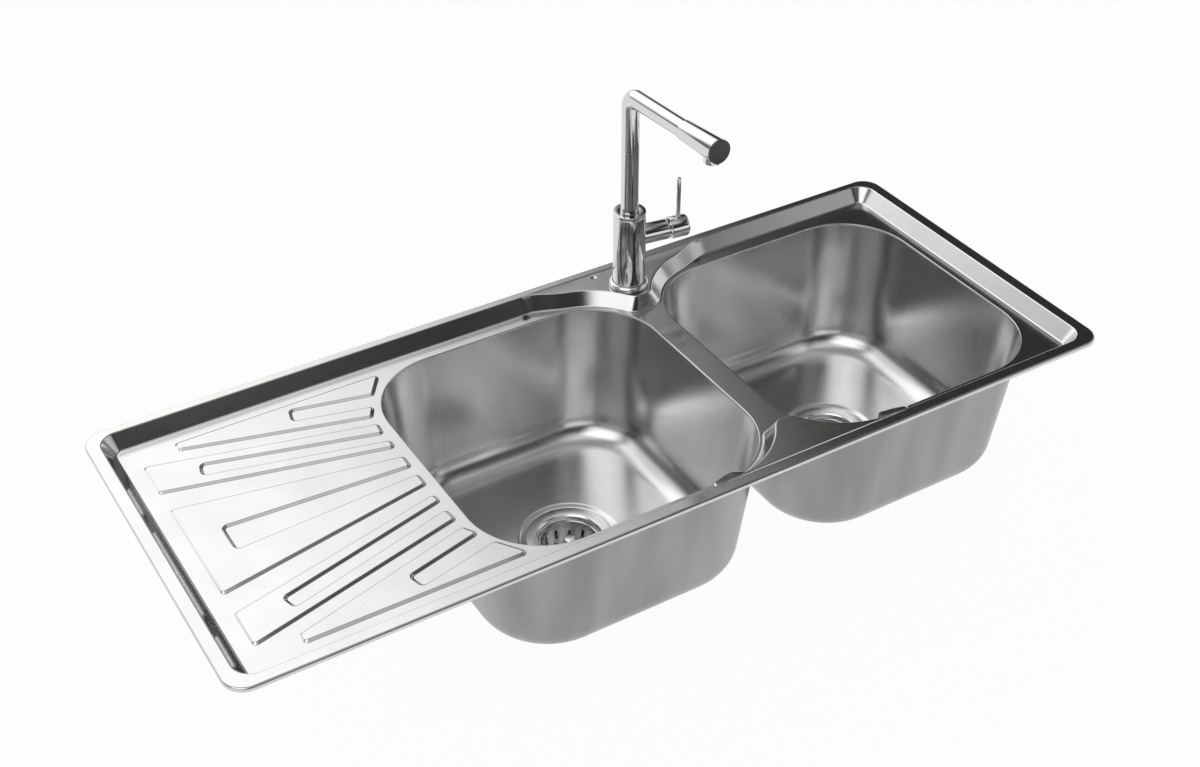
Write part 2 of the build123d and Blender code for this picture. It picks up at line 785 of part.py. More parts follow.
with BuildPart() as fixed_disc:
    add(valve_ring(0, turret_radius, base_end, fixed_end).part)
    add(ports(all_ports, base_end, fixed_end), mode=Mode.SUBTRACT)
pieces["fixed_disc"] = fixed_disc

# The moving disc rests low, over its closed ports, and slides up as the lever is pulled out.
with BuildPart() as moving_disc:
    with BuildSketch(valve_cross(moving_start)):
        with Locations((0, -disc_travel / 2)):
            Circle(moving_disc_radius)
            Rectangle(2 * moving_disc_flat, 2 * moving_disc_radius, mode=Mode.INTERSECT)
    extrude(amount=moving_disc_thick)
    with BuildSketch(valve_cross(moving_start)):
        with Locations((0, -disc_travel / 2)):
            Polygon(
                (-mixing_wide, mixing_top), (-mixing_narrow, -mixing_bottom),
                (mixing_narrow, -mixing_bottom), (mixing_wide, mixing_top),
                align=None,
            )
    extrude(amount=mixing_depth, mode=Mode.SUBTRACT)
    ball_pocket = ball_reach - ball_radius - ball_clearance / 2
    add(valve_ring(0, ball_radius + ball_clearance, ball_pocket, moving_end).part, mode=Mode.SUBTRACT)
pieces["moving_disc"] = moving_disc

# The turret turns in the cartridge and takes the disc round between its two cheeks.
with BuildPart() as cartridge_turret:
    with BuildSketch(valve_cross(moving_start + turret_gap)):
        Circle(turret_radius)
        Rectangle(2 * moving_disc_flat + 2 * turret_gap, 2 * turret_radius, mode=Mode.SUBTRACT)
    extrude(amount=turret_start - moving_start - turret_gap)
    add(valve_ring(turret_bore, turret_radius, turret_start, turret_end).part)
    pin_hole = cross_hole(pivot_reach, pivot_pin_radius + close_gap, 2 * cartridge_inner)
    add(pin_hole.part, mode=Mode.SUBTRACT)
pieces["cartridge_turret"] = cartridge_turret
pieces["spindle_pin"] = cross_hole(pivot_reach, pivot_pin_radius, 2 * (turret_radius - turret_gap))

with BuildPart() as cartridge_spindle:
    add(turned(valve_side, valve_axis, [
        (ball_reach, 0), (spindle_end, 0), (spindle_end, spindle_radius),
        (spindle_step, spindle_radius), (spindle_step, spindle_neck), (ball_reach, spindle_neck),
    ]).part)
    with Locations(valve_cross(ball_reach)):
        Sphere(ball_radius)
    pin_hole = cross_hole(pivot_reach, pivot_pin_radius + running_gap, 4 * spindle_radius)
    add(pin_hole.part, mode=Mode.SUBTRACT)
pieces["cartridge_spindle"] = cartridge_spindle

nut_end = cartridge_end + cartridge_nut_thick
thread_radius = cartridge_bore - thread_gap
pieces["cartridge_nut"] = valve_ring(cartridge_nut_bore, thread_radius, cartridge_end, nut_end)
pieces["valve_dome"] = turned(valve_side, valve_axis, [
    (nut_end + thread_gap, dome_bore), (dome_reach, dome_bore), (dome_reach, dome_end_radius),
    (boss_end + dome_flange, boss_radius), (boss_end, boss_radius), (boss_end, thread_radius),
    (nut_end + thread_gap, thread_radius),
])

# --- the handle: a hood on the spindle, its upright rod and a grub screw ---
with BuildPart() as handle_hood:
    add(valve_ring(0, hood_radius, hood_start, hood_end).part)
    fillet(handle_hood.faces().sort_by(valve_axis)[-1].edges(), hood_round)
    pocket = valve_ring(0, hood_radius - hood_wall, hood_start, hood_start + hood_pocket)
    add(pocket.part, mode=Mode.SUBTRACT)
    add(valve_ring(0, spindle_radius + close_gap, hood_start, hood_socket).part, mode=Mode.SUBTRACT)
    with BuildSketch(tap_level(valve_height + lever_root)):
        with Locations((lever_reach, 0)):
            Circle(lever_radius + close_gap)
    extrude(amount=hood_radius, mode=Mode.SUBTRACT)
    with BuildSketch(tap_level(valve_height)):
        with Locations((grub_reach, 0)):
            Circle(grub_radius + close_gap)
    extrude(amount=-hood_radius, mode=Mode.SUBTRACT)
pieces["handle_hood"] = handle_hood

with BuildPart() as lever_rod:
    with BuildSketch(tap_level(valve_height + lever_root)):
        with Locations((lever_reach, 0)):
            Circle(lever_radius)
    extrude(amount=lever_top - valve_height - lever_root)
    fillet(lever_rod.faces().sort_by(Axis.Z)[-1].edges(), lever_round)
pieces["lever_rod"] = lever_rod

with BuildPart() as handle_grub_screw:
    with BuildSketch(tap_level(valve_height - spindle_radius - close_gap)):
        with Locations((grub_reach, 0)):
            Circle(grub_radius)
    extrude(amount=-grub_length)
pieces["handle_grub_screw"] = handle_grub_screw

# Export.
for name, piece in pieces.items():
    piece.part.label = name
    export_step(piece.part, f"parts/{name}.step")
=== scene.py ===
import bmesh
import bpy
from itertools import repeat
from math import asin, atan2, cos, degrees, pi, radians, sin, tan
from mathutils import Matrix, Vector


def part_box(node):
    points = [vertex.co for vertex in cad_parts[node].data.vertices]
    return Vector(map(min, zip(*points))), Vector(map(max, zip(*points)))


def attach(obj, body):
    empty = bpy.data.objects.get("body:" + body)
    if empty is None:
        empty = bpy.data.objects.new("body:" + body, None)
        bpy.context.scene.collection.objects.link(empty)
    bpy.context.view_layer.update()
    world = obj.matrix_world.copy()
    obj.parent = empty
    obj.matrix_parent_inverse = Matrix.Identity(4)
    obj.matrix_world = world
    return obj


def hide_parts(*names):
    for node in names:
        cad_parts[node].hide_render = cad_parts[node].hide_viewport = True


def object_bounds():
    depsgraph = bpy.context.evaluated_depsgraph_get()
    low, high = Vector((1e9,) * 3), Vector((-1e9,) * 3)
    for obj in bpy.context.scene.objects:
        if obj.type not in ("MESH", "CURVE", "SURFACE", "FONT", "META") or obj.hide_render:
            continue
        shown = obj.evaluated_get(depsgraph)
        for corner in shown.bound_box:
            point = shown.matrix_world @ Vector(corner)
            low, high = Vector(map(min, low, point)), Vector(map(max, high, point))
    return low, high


# A double bowl kitchen sink of pressed stainless steel with its mixer tap and basket wastes.
# Sizes here are in millimetres, and each mesh is scaled to metres as it is made.
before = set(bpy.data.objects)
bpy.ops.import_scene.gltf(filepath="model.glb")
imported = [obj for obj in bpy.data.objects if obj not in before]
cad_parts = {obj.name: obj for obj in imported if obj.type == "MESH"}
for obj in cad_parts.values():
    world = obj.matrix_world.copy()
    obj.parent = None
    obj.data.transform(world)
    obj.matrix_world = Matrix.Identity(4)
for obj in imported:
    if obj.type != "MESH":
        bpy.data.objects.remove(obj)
cad_low, cad_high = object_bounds()
mm = 0.001


# --------------------------------------------------------------------
# The pressed top: one sheet of 1 mm austenitic stainless steel, brushed along its length. It is
# drawn in one blow of the press, so every edge has a small radius, then trimmed, and its rim is
# rolled down over the foam strip. The two bowls are welded under it and ground flush.
sheet = 1.0
top_low, top_high = (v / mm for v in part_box("sink_top"))
rim_radius, rim_drop, rim_corner, rim_steps = 3.0, 5.0, 27.0, 8
flange_left, flange_right, flange_back, flange_front = 16.0, 18.0, 12.0, 16.0
deck_z = -19.0
wall_run = 14.5
corner_foot = 9.5
foot_radius, brow_radius = 3.0, 2.2
flat_band = 1.2

bowl_flange = 6.0
bowl_corner = 97.0
lip_radius, lip_steps = 0.9, 5
bowl_box = {side: [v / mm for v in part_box(f"{side}_bowl")] for side in ("left", "right")}
bowl_centre = {side: (low + high) / 2 for side, (low, high) in bowl_box.items()}
bowl_low, bowl_high = bowl_box["left"]
bowl_half = (bowl_high - bowl_low) / 2 - Vector((bowl_flange, bowl_flange, 0))
bridge_x = (bowl_centre["left"].x + bowl_centre["right"].x) / 2
bowl_y = bowl_centre["left"].y

# the ledges run round the bowls' corners at one distance, and flow into the long walls
ledge_z = -1.5
ledge_gap = 6.0
ledge_run = 12.5
ledge_tip = {0: 148.0, 1: 156.0}
flow_start = 143.0
flow_angle = 75.0
cone_x = bowl_centre["right"].x - bridge_x - bowl_half.x + bowl_corner
cone_y = bowl_half.y - bowl_corner

# how many points each stretch of the recess's edge has
flow_steps, turn_steps, cone_steps, tip_steps = 20, 14, 30, 18
drainer_steps, right_steps, end_steps = 130, 70, 100

# the drainer's ribs: each pressed up along a hairpin, whose outline is (x, y) of its corners
rib_rise, rib_round, rib_run, rib_radius, rib_band, rib_out = 2.5, 5.0, 3.2, 1.8, 0.4, 0.7
middle_rib = [
    (-539, 81), (-270, 30), (-270, 8), (-498, 20.5),
    (-498, -20.5), (-270, -8), (-270, -30), (-539, -81),
]
side_rib = [
    (-539, 170), (-269, 102), (-271, 81), (-479, 138),
    (-484, 120), (-270, 65), (-271, 50), (-539, 114),
]
wall_rib = [
    (-492, 193), (-224, 193), (-249, 157), (-349, 180),
    (-354, 160), (-258, 136), (-269, 117), (-492, 178),
]


def arc(centre, radius, start, end, steps):
    """Points along an arc between two angles in degrees, without its last one."""
    angles = [radians(start + (end - start) * k / steps) for k in range(steps)]
    return [(centre[0] + radius * cos(a), centre[1] + radius * sin(a)) for a in angles]


def straight(start, end, steps):
    """Points along a straight stretch, without its last one."""
    return [
        (start[0] + (end[0] - start[0]) * k / steps, start[1] + (end[1] - start[1]) * k / steps)
        for k in range(steps)
    ]


def rounded_polygon(corners, radius, corner_steps=8, side_steps=1):
    """An anticlockwise polygon with rounded corners: its points, each with its outward normal."""
    line = []
    for k, corner in enumerate(corners):
        here, before, after = (Vector(corners[(k + n) % len(corners)]) for n in (0, -1, 1))
        into, out = (here - before).normalized(), (after - here).normalized()
        turn = atan2(into.x * out.y - into.y * out.x, into.dot(out))
        reach = radius * tan(abs(turn) / 2)
        first = atan2(-into.x, into.y)
        bend = 1 if turn > 0 else -1
        middle = here - into * reach - bend * radius * Vector((cos(first), sin(first)))
        for n in range(corner_steps + 1):
            angle = first + turn * n / corner_steps
            normal = Vector((cos(angle), sin(angle)))
            line.append((middle + bend * radius * normal, normal))
        end = line[-1][0]
        ahead = Vector(corners[(k + 2) % len(corners)])
        next_out = (ahead - after).normalized()
        next_turn = atan2(out.x * next_out.y - out.y * next_out.x, out.dot(next_out))
        stop = after - out * radius * tan(abs(next_turn) / 2)
        for n in range(1, side_steps):
            line.append((end.lerp(stop, n / side_steps), line[-1][1]))
    return line


def rectangle(centre, half, corner, corner_steps=24, side_steps=12):
    """A rounded rectangle's points with their outward normals, anticlockwise."""
    corners = [(centre[0] + x * half[0], centre[1] + y * half[1])
               for x, y in ((1, -1), (1, 1), (-1, 1), (-1, -1))]
    return rounded_polygon(corners, corner, corner_steps, side_steps)


def press_profile(run, rise, foot, brow, band, steps=4):
    """A pressed wall in section, as (distance from its foot, height), with both its radii."""
    slope = atan2(rise, run)
    low, high = foot * tan(slope / 2), brow * tan(slope / 2)
    section = [(-low - band, 0)]
    for n in range(steps + 1):
        angle = slope * n / steps
        section.append((foot * sin(angle) - low, foot * (1 - cos(angle))))
    for n in range(steps, -1, -1):
        angle = slope * n / steps
        section.append((run + high - brow * sin(angle), rise - brow * (1 - cos(angle))))
    return section + [(run + high + band, rise)]


def flowing(start, start_way, end, end_way, steps):
    """Points along a curve that leaves its start and meets its end in given ways, less its end."""
    start, start_way, end, end_way = (Vector(v) for v in (start, start_way, end, end_way))
    pull = (end - start).length
    line = []
    for k in range(steps):
        t = k / steps
        line.append(start * (2 * t ** 3 - 3 * t ** 2 + 1)
                    + start_way * pull * (t ** 3 - 2 * t ** 2 + t)
                    + end * (3 * t ** 2 - 2 * t ** 3) + end_way * pull * (t ** 3 - t ** 2))
    return [tuple(p) for p in line]


def recess_edge(t):
    """The recess in plan with both ledges, at its foot (t = 0) or top (t = 1): (x, y, z, mark).

    Mark 1 is along the tip of a ledge, and 2 is where a ledge leaves or joins the long wall.
    """
    left = top_low.x + flange_left + wall_run * (1 - t)
    right = top_high.x - flange_right - wall_run * (1 - t)
    corner = corner_foot + wall_run * t
    cone = bowl_corner + ledge_gap + ledge_run * t
    tip = ledge_tip[t]
    turn = radians(flow_angle)
    last = degrees(asin((tip - cone_y) / cone))
    tip_x = cone_x - cone * cos(radians(last))
    level, low = repeat(0.0), repeat(ledge_z)
    ease_down = [
        ledge_z * k * k * (3 * flow_steps - 2 * k) / flow_steps ** 3 for k in range(flow_steps)
    ]
    halves = []
    for side in (-1, 1):
        wall = top_high.y - flange_back if side > 0 else top_low.y + flange_front
        wall = wall - side * wall_run * (1 - t)
        wall_corner = wall - side * corner
        middle = bowl_y + side * cone_y
        meet_x, meet_y = cone_x - cone * cos(turn), middle + side * cone * sin(turn)
        leave, join = (bridge_x - flow_start, wall), (bridge_x + flow_start, wall)
        half = []

        def keep(points, heights, mark=0):
            half.extend((x, y, z, mark) for (x, y), z in zip(points, heights))

        def cone_arc(x, start, stop):
            points = arc((x, middle), cone, start, stop, cone_steps)
            return [(px, middle + side * (py - middle)) for px, py in points]

        keep(arc((left + corner, wall_corner), corner, 180, 180 - 90 * side, turn_steps), level)
        keep(straight((left + corner, wall), leave, drainer_steps), level)
        flow = flowing(leave, (1, 0), (bridge_x - meet_x, meet_y),
                       (sin(turn), -side * cos(turn)), flow_steps)
        keep(flow[:1], ease_down, 2)
        keep(flow[1:], ease_down[1:])
        keep(cone_arc(bridge_x - cone_x, flow_angle, last), low)
        tip_y = bowl_y + side * tip
        keep(straight((bridge_x - tip_x, tip_y), (bridge_x + tip_x, tip_y), tip_steps), low, 1)
        keep(cone_arc(bridge_x + cone_x, 180 - last, 180 - flow_angle), low)
        flow = flowing((bridge_x + meet_x, meet_y), (sin(turn), side * cos(turn)),
                       join, (1, 0), flow_steps)
        keep(flow, [ledge_z] + ease_down[:0:-1])
        keep([join], level, 2)
        keep(straight(join, (right - corner, wall), right_steps)[1:], level)
        keep(arc((right - corner, wall_corner), corner, 90 * side, 0, turn_steps), level)
        half.append((right, wall_corner, 0, 0))
        halves.append(half)
    front, back = halves
    ends = []
    for start, stop in ((front[-1], back[-1]), (back[0], front[0])):
        ends.append([(x, y, 0, 0) for x, y in straight(start, stop, end_steps)[1:]])
    return front + ends[0] + back[::-1] + ends[1]


def rounded_tips(edge, rounds=14, spread=3):
    """Rounds the corners of the ledges' tips: their points are drawn towards their neighbours."""
    count = len(edge)
    points = [Vector(p[:3]) for p in edge]
    corners = [k for k in range(count) if (edge[k][3] == 1) != (edge[k - 1][3] == 1)]
    near = [k for k in range(count) if any(abs(k - c + 0.5) <= spread for c in corners)]
    for _ in range(rounds):
        moved = {}
        for k in near:
            between = (points[k - 1] + points[(k + 1) % count]) / 2
            moved[k] = points[k].lerp(between, 0.5)
        for k, point in moved.items():
            points[k] = point
    return points


def row_of(mesh, points):
    """New vertices for one row of points in millimetres."""
    return [mesh.verts.new(Vector(p) * mm) for p in points]


def skin(mesh, rows, closed=True, flip=False):
    """Faces between rows of vertices, one row to the next."""
    for low, high in zip(rows, rows[1:]):
        count = len(low)
        for k in range(count if closed else count - 1):
            n = (k + 1) % count
            quad = [low[k], low[n], high[n], high[k]]
            corners = [v for m, v in enumerate(quad) if v is not quad[m - 1]]
            if len(corners) > 2:
                mesh.faces.new(corners[::-1] if flip else corners)


def edges_of(mesh, row, closed=True):
    """The edges along a row of vertices, made where they aren't there yet."""
    found = []
    for k in range(len(row) if closed else len(row) - 1):
        pair = (row[k], row[(k + 1) % len(row)])
        found.append(mesh.edges.get(pair) or mesh.edges.new(pair))
    return found


def fill(mesh, edges):
    """A flat face between loops of edges, in triangles that look up."""
    made = bmesh.ops.triangle_fill(mesh, use_beauty=True, edges=edges, normal=(0, 0, 1))
    for item in made["geom"]:
        if isinstance(item, bmesh.types.BMFace):
            item.normal_update()
            if item.normal.z < 0:
                item.normal_flip()


def finished(name, mesh, sharp=38):
    """A bmesh made into an object of the scene, smooth but for its edges over an angle."""
    for face in mesh.faces:
        face.smooth = True
    data = bpy.data.meshes.new(name)
    mesh.to_mesh(data)
    mesh.free()
    data.set_sharp_from_angle(angle=radians(sharp))
    made = bpy.data.objects.new(name, data)
    bpy.context.scene.collection.objects.link(made)
    return made


def applied(piece, sharp):
    """Makes what a piece's modifiers give its plain mesh, sharp at edges over an angle."""
    evaluated = piece.evaluated_get(bpy.context.evaluated_depsgraph_get())
    mesh = bpy.data.meshes.new_from_object(evaluated)
    piece.modifiers.clear()
    piece.data = mesh
    mesh.set_sharp_from_angle(angle=radians(sharp))


def thickened(piece, outer_slot=0):
    """Gives a skin the sheet's thickness away from its normals."""
    wall = piece.modifiers.new("thickness", "SOLIDIFY")
    wall.thickness = sheet * mm
    wall.offset = -1
    wall.use_even_offset = True
    wall.material_offset = outer_slot
    applied(piece, 38)
    return piece


top = bmesh.new()

# the recess's wall, with the radii at its foot and at its brow
foot_line, brow_line = recess_edge(0), recess_edge(1)
ledge_ends = [k for k, p in enumerate(foot_line) if p[3] == 2]
sections = []
for foot, brow in zip(rounded_tips(foot_line), rounded_tips(brow_line)):
    away = Vector((brow.x - foot.x, brow.y - foot.y))
    profile = press_profile(away.length, brow.z - deck_z, foot_radius, brow_radius, flat_band)
    sections.append([
        (foot.x + away.x / away.length * s, foot.y + away.y / away.length * s, deck_z + h)
        for s, h in profile
    ])
wall_rows = [row_of(top, points) for points in zip(*sections)]
skin(top, wall_rows)
brow_row = wall_rows[-1]

# the rolled rim: its inset and drop from the flat round to its edge, and then down to its lip
rim_line = rectangle((0, 0), top_high, rim_corner, 20, 60)
rim_section = [(rim_radius + flat_band, 0)]
for k in range(rim_steps + 1):
    angle = k * pi / 2 / rim_steps
    rim_section.append((rim_radius * (1 - sin(angle)), rim_radius * (1 - cos(angle))))
rim_section.append((0, rim_drop))
rim_rows = []
for inset, drop in rim_section:
    points = [p - n * inset for p, n in rim_line]
    rim_rows.append(row_of(top, [(p.x, p.y, -drop) for p in points]))
skin(top, rim_rows[::-1])

# the step from each ledge's top up to the rim, its dimple and the tap's hole
tap_low, tap_high = (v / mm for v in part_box("tap_base_ring"))
tap_x, tap_y = (tap_low.x + tap_high.x) / 2, (tap_low.y + tap_high.y) / 2
tap_hole = 17.5
dimple = (tap_x - 32, tap_y + 37)
dimple_rows = (  # (radius, depth)
    (5.0, 0.0), (3.9, 0.0), (3.2, -0.12), (2.3, -0.5), (1.4, -0.85), (0.6, -0.98),
)
step_section = (  # (distance from its middle, share of its rise)
    (-2.4, 0.0), (-1.4, 0.06), (-0.6, 0.3), (0.0, 0.5), (0.6, 0.7), (1.4, 0.94), (2.4, 1.0),
)
step_count = 60
step_fade = 12  # the step widens from nothing over a twelfth of its length at each end
joined = []
for first, last, y, side in (
    (ledge_ends[0], ledge_ends[1], top_low.y + flange_front, -1),
    (ledge_ends[2], ledge_ends[3], top_high.y - flange_back, 1),
):
    start, stop = brow_row[first], brow_row[last]
    rows = []
    for away, share in step_section:
        row = [start]
        for k in range(1, step_count):
            t = k / step_count
            fade = min(1, t * step_fade, (1 - t) * step_fade)
            x = start.co.x / mm + (stop.co.x - start.co.x) / mm * t
            near = start.co if t < 0.5 else stop.co
            z = ledge_z * (1 - share)
            row.append(top.verts.new(Vector((
                x, near.y / mm + (y + side * away - near.y / mm) * fade,
                near.z / mm + (z - near.z / mm) * fade,
            )) * mm))
        rows.append(row + [stop])
    skin(top, rows, closed=False, flip=side < 0)
    ledge_edges = edges_of(top, brow_row[first:last + 1], closed=False)
    ledge_edges += edges_of(top, rows[0], closed=False)
    if side > 0:
        loops = [row_of(top, [(x, y, ledge_z + z) for x, y in arc(dimple, r, 0, 360, 24)])
                 for r, z in dimple_rows]
        skin(top, loops)
        top.faces.new(loops[-1])
        around_tap = arc((tap_x, tap_y), tap_hole, 0, 360, 48)
        hole = row_of(top, [(x, y, ledge_z) for x, y in around_tap])
        ledge_edges += edges_of(top, loops[0]) + edges_of(top, hole)
    fill(top, ledge_edges)
    joined.append((first, last, rows[-1]))

rim_edges = edges_of(top, rim_rows[0])
(a, b, front_step), (c, d, back_step) = joined
for row in (brow_row[b:c + 1], brow_row[d:] + brow_row[:a + 1], front_step, back_step):
    rim_edges += edges_of(top, row, closed=False)
fill(top, rim_edges)

# the drainer's hairpins, and the bowls' openings with their ground lips
deck_edges = edges_of(top, wall_rows[0])
mirrored = [[(x, -y) for x, y in rib] for rib in (side_rib, wall_rib)]
for outline in [middle_rib, side_rib, wall_rib] + mirrored:
    pairs = zip(outline, outline[1:] + outline[:1])
    area = sum(x1 * y2 - x2 * y1 for (x1, y1), (x2, y2) in pairs)
    line = rounded_polygon(outline if area > 0 else outline[::-1], rib_round, 8, 12)
    rows = []
    for s, h in press_profile(rib_run, rib_rise, rib_radius, rib_radius, rib_band, 3):
        rows.append(row_of(top, [(*(p + n * (rib_out - s)), deck_z + h) for p, n in line]))
    skin(top, rows)
    fill(top, edges_of(top, rows[-1]))
    deck_edges += edges_of(top, rows[0])
for side, centre in bowl_centre.items():
    line = rectangle(centre, bowl_half, bowl_corner)
    lip_section = [(lip_radius + flat_band, 0)]
    for k in range(lip_steps + 1):
        angle = k * pi / 2 / lip_steps
        lip_section.append((lip_radius * (1 - sin(angle)), lip_radius * (1 - cos(angle))))
    rows = [row_of(top, [(*(p + n * away), deck_z - drop) for p, n in line])
            for away, drop in lip_section]
    skin(top, rows[::-1])
    deck_edges += edges_of(top, rows[0])
fill(top, deck_edges)
bmesh.ops.recalc_face_normals(top, faces=top.faces)


def linear(code, share=1.0):
    """An sRGB hex colour as linear red, green, blue and alpha, darkened to a share of itself."""
    parts = [int(code[k:k + 2], 16) / 255 for k in (1, 3, 5)]
    parts = [c / 12.92 if c <= 0.04045 else ((c + 0.055) / 1.055) ** 2.4 for c in parts]
    return [c * share for c in parts] + [1.0]


def add(tree, kind, inputs=(), links=(), **fields):
    """Adds a node: its fields, its unlinked sockets' values, and what is linked to its sockets."""
    node = tree.nodes.new(kind)
    for field, value in fields.items():
        setattr(node, field, value)
    for socket, value in dict(inputs).items():
        node.inputs[socket].default_value = value
    for socket, output in dict(links).items():
        tree.links.new(output, node.inputs[socket])
    return node


def new_material(name):
    """An empty node material, its tree and the object's own coordinates."""
    material = bpy.data.materials.new(name)
    material.use_nodes = True
    tree = material.node_tree
    tree.nodes.clear()
    return material, tree, add(tree, "ShaderNodeTexCoord").outputs["Object"]


def surfaced(tree, tint, rough, height, bump, inputs):
    """Ends a material: its tint, roughness and bump (strength, height in mm) on one shader."""
    raised = add(tree, "ShaderNodeBump", {"Strength": bump[0], "Distance": bump[1] * mm},
                 {"Height": height})
    shader = add(tree, "ShaderNodeBsdfPrincipled", inputs,
                 {"Base Color": tint.outputs["Result"], "Roughness": rough.outputs["Result"],
                  "Normal": raised.outputs["Normal"]})
    add(tree, "ShaderNodeOutputMaterial", links={"Surface": shader.outputs["BSDF"]})


def brushed_metal(name, colour, roughness, stretches, grain, depth, spread=0.03, drawn=(1, 1, 1),
                  shade=0.93):
    """Metal with fine lines, drawn out by a stretch on its walls and another on its level faces.

    Grain is the spacing of its lines and depth their height, in mm. Its tone varies softly down
    to the shade, in patches of about 60 mm that are stretched by the scale drawn.
    """
    material, tree, place = new_material(name)
    scratches = []
    for stretch in stretches:
        lines = add(tree, "ShaderNodeMapping", {"Scale": stretch}, {"Vector": place})
        scratches.append(add(tree, "ShaderNodeTexNoise",
                             {"Scale": 1 / (grain * mm), "Detail": 3.0, "Roughness": 0.6},
                             {"Vector": lines.outputs["Vector"]}).outputs["Fac"])
    scratch = scratches[0]
    if len(scratches) > 1:
        facing = add(tree, "ShaderNodeNewGeometry")
        upward = add(tree, "ShaderNodeSeparateXYZ", links={0: facing.outputs["Normal"]})
        level = add(tree, "ShaderNodeMapRange", {"From Min": 0.5, "From Max": 0.9},
                    {"Value": upward.outputs["Z"]})
        scratch = add(tree, "ShaderNodeMix", links={
            "Factor": level.outputs["Result"], "A": scratches[0], "B": scratches[1],
        }).outputs["Result"]
    patch = add(tree, "ShaderNodeMapping", {"Scale": drawn}, {"Vector": place})
    cloud = add(tree, "ShaderNodeTexNoise", {"Scale": 16.0, "Detail": 2.0},
                {"Vector": patch.outputs["Vector"]})
    cloud = add(tree, "ShaderNodeMapRange", {"From Min": 0.3, "From Max": 0.7},
                {"Value": cloud.outputs["Fac"]})
    rough = add(tree, "ShaderNodeMapRange",
                {"From Min": 0.3, "From Max": 0.7,
                 "To Min": roughness - spread, "To Max": roughness + spread},
                {"Value": scratch})
    tint = add(tree, "ShaderNodeMix", {"A": linear(colour), "B": linear(colour, shade)},
               {"Factor": cloud.outputs["Result"]}, data_type="RGBA")
    surfaced(tree, tint, rough, scratch, (0.25, depth), {"Metallic": 1.0})
    return material


# Cold-rolled austenitic stainless steel, brushed lengthwise with a fine belt: a cool grey mirror
# that is softened across its lines, so lamps and edges smear into streaks along the sink. The
# real lines are about 0.1 mm apart, too fine to show, and are drawn 1.2 mm apart.
brushed_top = brushed_metal("steel_brushed_along", "#D3D3D1", 0.14, [(0.02, 1, 1)], 1.2, 0.003)
sink_top = thickened(finished("pressed_top", top))
sink_top.data.materials.append(brushed_top)
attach(sink_top, "sink")
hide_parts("sink_top")


# --------------------------------------------------------------------
# The two bowls: shells deep-drawn from the same sheet with steep walls and a wide floor radius,
# satin finished inside. Each has a seat pressed in its floor for the flange of its waste.
draft = 5.0
floor_z, floor_fillet, floor_fall = -214.0, 40.0, 0.6
floor_edge, floor_dip = 4, 0.05
seat_radius, seat_drop, seat_edge = 62.0, 2.5, 3.5
drain_radius = 45.0
corner_narrowing = 2.0
wall_top = deck_z - 0.4
wall_steps, fillet_steps = 12, 14
lip_end = 1.9
lip_rows = (  # (inset from the opening, drop below the wall's top)
    (-bowl_flange, 1.0), (-1.2, 1.0), (-0.4, 1.2), (0.0, lip_end), (0.05, 2.5),
)


def bowl_rows(mesh, centre):
    """The rows of one bowl's inner skin, from its flange down to the drain hole."""
    narrowing = tan(radians(draft))
    rows = []

    def ring(inset, corner, z):
        half = (bowl_half.x - inset, bowl_half.y - inset)
        rows.append(row_of(mesh, [(p.x, p.y, z) for p, n in rectangle(centre, half, corner)]))

    for inset, drop in lip_rows:
        ring(inset, bowl_corner - min(inset, 0), wall_top - drop)
    sweep = radians(90 - draft)
    fillet_top = floor_z + floor_fillet * (1 - cos(sweep))
    wall_inset = (deck_z - fillet_top) * narrowing
    for k in range(1, wall_steps + 1):
        share = k / wall_steps
        z = wall_top - lip_end + (fillet_top - wall_top + lip_end) * share
        ring(wall_inset * share, bowl_corner - corner_narrowing * share, z)
    for k in range(1, fillet_steps + 1):
        angle = sweep * (1 - k / fillet_steps)
        inward = floor_fillet * (sin(sweep) - sin(angle))
        z = floor_z + floor_fillet * (1 - cos(angle))
        ring(wall_inset + inward, bowl_corner - corner_narrowing - inward, z)
    inset = wall_inset + floor_fillet * sin(sweep)
    corner = bowl_corner - corner_narrowing - floor_fillet * sin(sweep)
    ring(inset + floor_edge, corner - floor_edge, floor_z - floor_dip)
    edge = [v.co / mm for v in rows[-1]]
    drop_edge = seat_radius + seat_edge
    for radius, z in (
        (drop_edge + 3, -floor_fall), (drop_edge, -floor_fall - 0.05),
        (seat_radius + 2.2, -floor_fall - 0.4), (seat_radius - 0.2, -seat_drop + 0.4),
        (seat_radius - 2, -seat_drop), (drain_radius, -seat_drop),
    ):
        row = []
        for p in edge:
            away = Vector((p.x - centre.x, p.y - centre.y)).normalized() * radius
            row.append((centre.x + away.x, centre.y + away.y, floor_z + z))
        rows.append(row_of(mesh, row))
    return rows


# The same sheet after drawing, satin polished with a soft belt: the walls up and down, the floor
# along the sink. It is paler and softer than the top, and its lamps become broad upright glows.
# The lines, about 0.1 mm apart, are too fine to show and are drawn 1.6 mm apart.
satin_bowl = brushed_metal("steel_satin_drawn", "#DADAD9", 0.22, [(1, 1, 0.03), (0.03, 1, 1)],
                           1.6, 0.0012, drawn=(1, 1, 0.3))
# The outside is left as the press drew it: a duller mill finish with upright draw marks
# and cloudy tone. Its darker colour is painted shade: the same steel as inside, darkened for the
# shadow under the sink. The marks are drawn 2.5 mm apart, coarser than real, so that they show.
under_skin_painted_shade = brushed_metal("steel_mill_underside_painted_shade", "#A2A3A3", 0.3, [(1, 1, 0.1)], 2.5, 0.003,
                           drawn=(1, 1, 0.15), shade=0.7)
for side, centre in bowl_centre.items():
    shell = bmesh.new()
    skin(shell, bowl_rows(shell, centre))
    bowl = finished(f"{side}_bowl_shell", shell)
    bowl.data.materials.append(satin_bowl)
    # the outer skin takes the steel darkened as painted shade
    bowl.data.materials.append(under_skin_painted_shade)
    thickened(bowl, outer_slot=1)
    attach(bowl, "sink")
    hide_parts(f"{side}_bowl")


